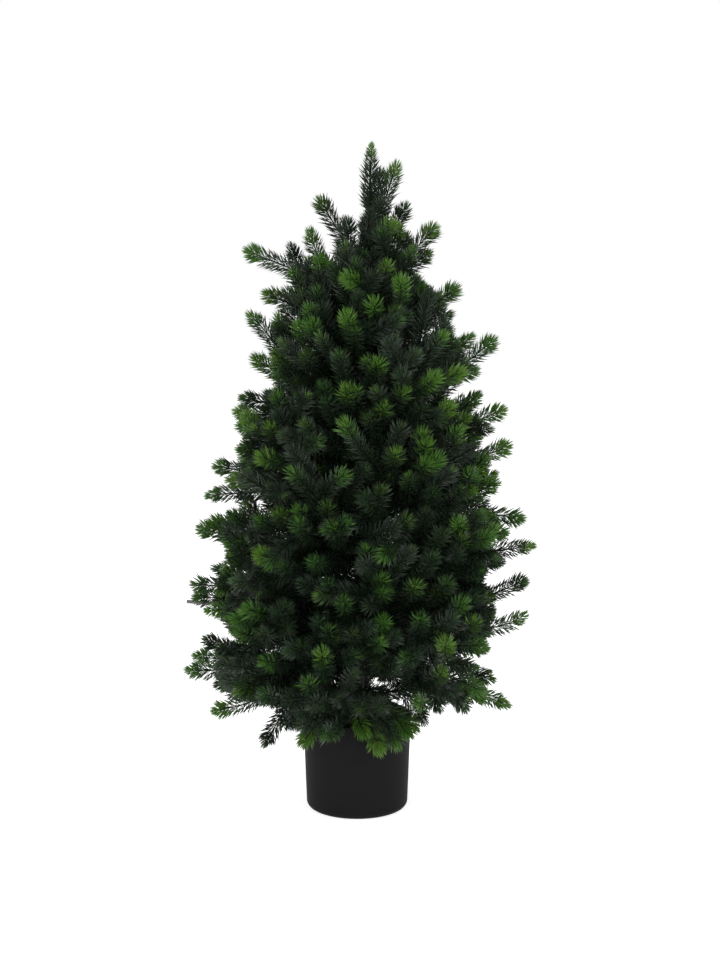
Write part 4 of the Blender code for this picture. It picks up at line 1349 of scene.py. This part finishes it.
@dataclass
class Limbs:
    """The wound boughs, the stems and twigs that carry the needles, and one bare wire's end."""

    stem_radius: float = 0.0021
    twig_radius: float = 0.0015
    twig_tip_radius: float = 0.0008
    twig_short: float = 0.0145
    twig_steps: int = 8
    wire_radius: float = 0.0025
    wire_end: tuple[Place, Place] = ((-0.190, 0.004, 0.2815), (-0.2315, 0.004, 0.2845))
    bough_skin: Skin = Skin(0.0009, 10, 0.0050, 0.0004)
    twig_skin: Skin = Skin(0.0140, 5, 0.0140)
    wire_skin: Skin = Skin(0.02, 10)
    twig_finish: PlainFinish = PlainFinish("twig_skin", (0.0080, 0.0160, 0.0070), 0.8, 0.1)
    wire_finish: PlainFinish = PlainFinish("bare_wire", (0.115, 0.115, 0.118), 0.45, 0.4)

    def twig(self, shoot: Shoot, radius: float) -> Rod:
        """The twig in a shoot, from this radius to the thin end behind the tip."""
        path = cut_path(shoot.path, 0.0, length_of(shoot.path) - self.twig_short, self.twig_steps)
        return path, spread(radius, self.twig_tip_radius, self.twig_steps)

    def build(self, crown: Crown, rods: WoundRods) -> None:
        """Makes the boughs, the twigs and the wire's end."""
        boughs, nodes = [], []
        for branch in crown.branches:
            if branch.bough:
                radii = spread(crown.bough_radius, self.stem_radius, len(branch.bough) - 1)
                boughs.append((branch.bough, radii))
                nodes.append(branch.bough_node)
        rods.build("wound_boughs", boughs, nodes, self.bough_skin, rods.tape)
        twigs = [
            self.twig(shoot, self.twig_radius if i else self.stem_radius)
            for branch in crown.branches
            for i, shoot in enumerate(branch.shoots)
        ]
        rods.build("twigs", twigs, [], self.twig_skin, self.twig_finish.material())
        wire = ([Vector(end) for end in self.wire_end], [self.wire_radius] * 2)
        rods.build("bare_wire_end", [wire], [], self.wire_skin, self.wire_finish.material())


# --- studio ---


@dataclass(frozen=True)
class SoftBox:
    """One soft light, square, aimed at a point of the tree."""

    name: str
    place: Place
    size: float
    power: float
    aim: Place = (0.0, 0.0, 0.45)

    def build(self) -> None:
        """Makes the area light."""
        light = bpy.data.lights.new(self.name, "AREA")
        light.energy, light.size = self.power, self.size
        lamp = bpy.data.objects.new(self.name, light)
        lamp.location = self.place
        lamp.rotation_euler = (Vector(self.aim) - lamp.location).to_track_quat("-Z", "Y").to_euler()
        bpy.context.scene.collection.objects.link(lamp)


@dataclass
class Studio:
    """The pale floor, the surrounding white, the lights and the camera."""

    camera_pitch: float = math.radians(8.25)
    lens: float = 67.68
    sensor: float = 36.0
    floor_radius: float = 7.0
    floor_height: float = -0.0002
    floor_sides: int = 96
    floor_finish: PlainFinish = PlainFinish("pale_floor", (0.90, 0.90, 0.90), 0.9, 0.1, 0.71)
    surround: float = 0.50
    boxes: tuple[SoftBox, ...] = (
        SoftBox("top_box", (0.0, -0.3, 2.7), 2.4, 41.0),
        SoftBox("left_box", (-1.3, -2.4, 1.4), 1.3, 25.0),
        SoftBox("right_box", (1.8, -1.8, 1.3), 1.3, 15.0),
    )

    def build(self) -> None:
        """Sets the studio up round the tree."""
        self.floor()
        self.world()
        for box in self.boxes:
            box.build()
        self.camera()
        bpy.context.scene.view_settings.view_transform = "Standard"

    def floor(self) -> None:
        """A wide pale disc just under the pot."""
        edge = ring(self.floor_radius, self.floor_height, self.floor_sides)
        mesh = mesh_of("floor", edge, [], [tuple(range(self.floor_sides))])
        mesh.materials.append(self.floor_finish.material())
        place("floor", mesh)

    def world(self) -> None:
        """White all round to the eye, softer as a light."""
        world = bpy.data.worlds.new("white_surround")
        bpy.context.scene.world = world
        world.use_nodes = True
        web = NodeWeb(world.node_tree)
        sight = web.add("ShaderNodeLightPath").outputs["Is Camera Ray"]
        strength = web.out("ShaderNodeMapRange", Value=sight, To_Min=self.surround, To_Max=1.0)
        web.feed(world.node_tree.nodes["Background"], Color=WHITE, Strength=strength)

    def camera(self) -> None:
        """The camera a little above the tree's top, looking slightly down."""
        data = bpy.data.cameras.new("camera")
        data.lens, data.sensor_width = self.lens, self.sensor
        camera = bpy.data.objects.new("camera", data)
        camera.location = EYE
        camera.rotation_euler = (math.pi / 2 - self.camera_pitch, 0.0, 0.0)
        bpy.context.scene.collection.objects.link(camera)
        bpy.context.scene.camera = camera


def main() -> None:
    """Builds the pot, the trunk, the crown and the studio, in that order."""
    logging.basicConfig(level=logging.INFO, format="%(name)s: %(message)s")
    planter = Planter()
    planter.build()
    Filling(planter).build()
    trunk = Trunk()
    rods = WoundRods()
    trunk.build(rods)
    crown = Crown(trunk, planter)
    crown.grow()
    total = sum(len(branch.shoots) for branch in crown.branches)
    LOG.info("%d shoots on %d branches", total, len(crown.branches))
    Limbs().build(crown, rods)
    NeedledShoots().build(crown, 6)
    Studio().build()


if __name__ == "__main__":
    main()
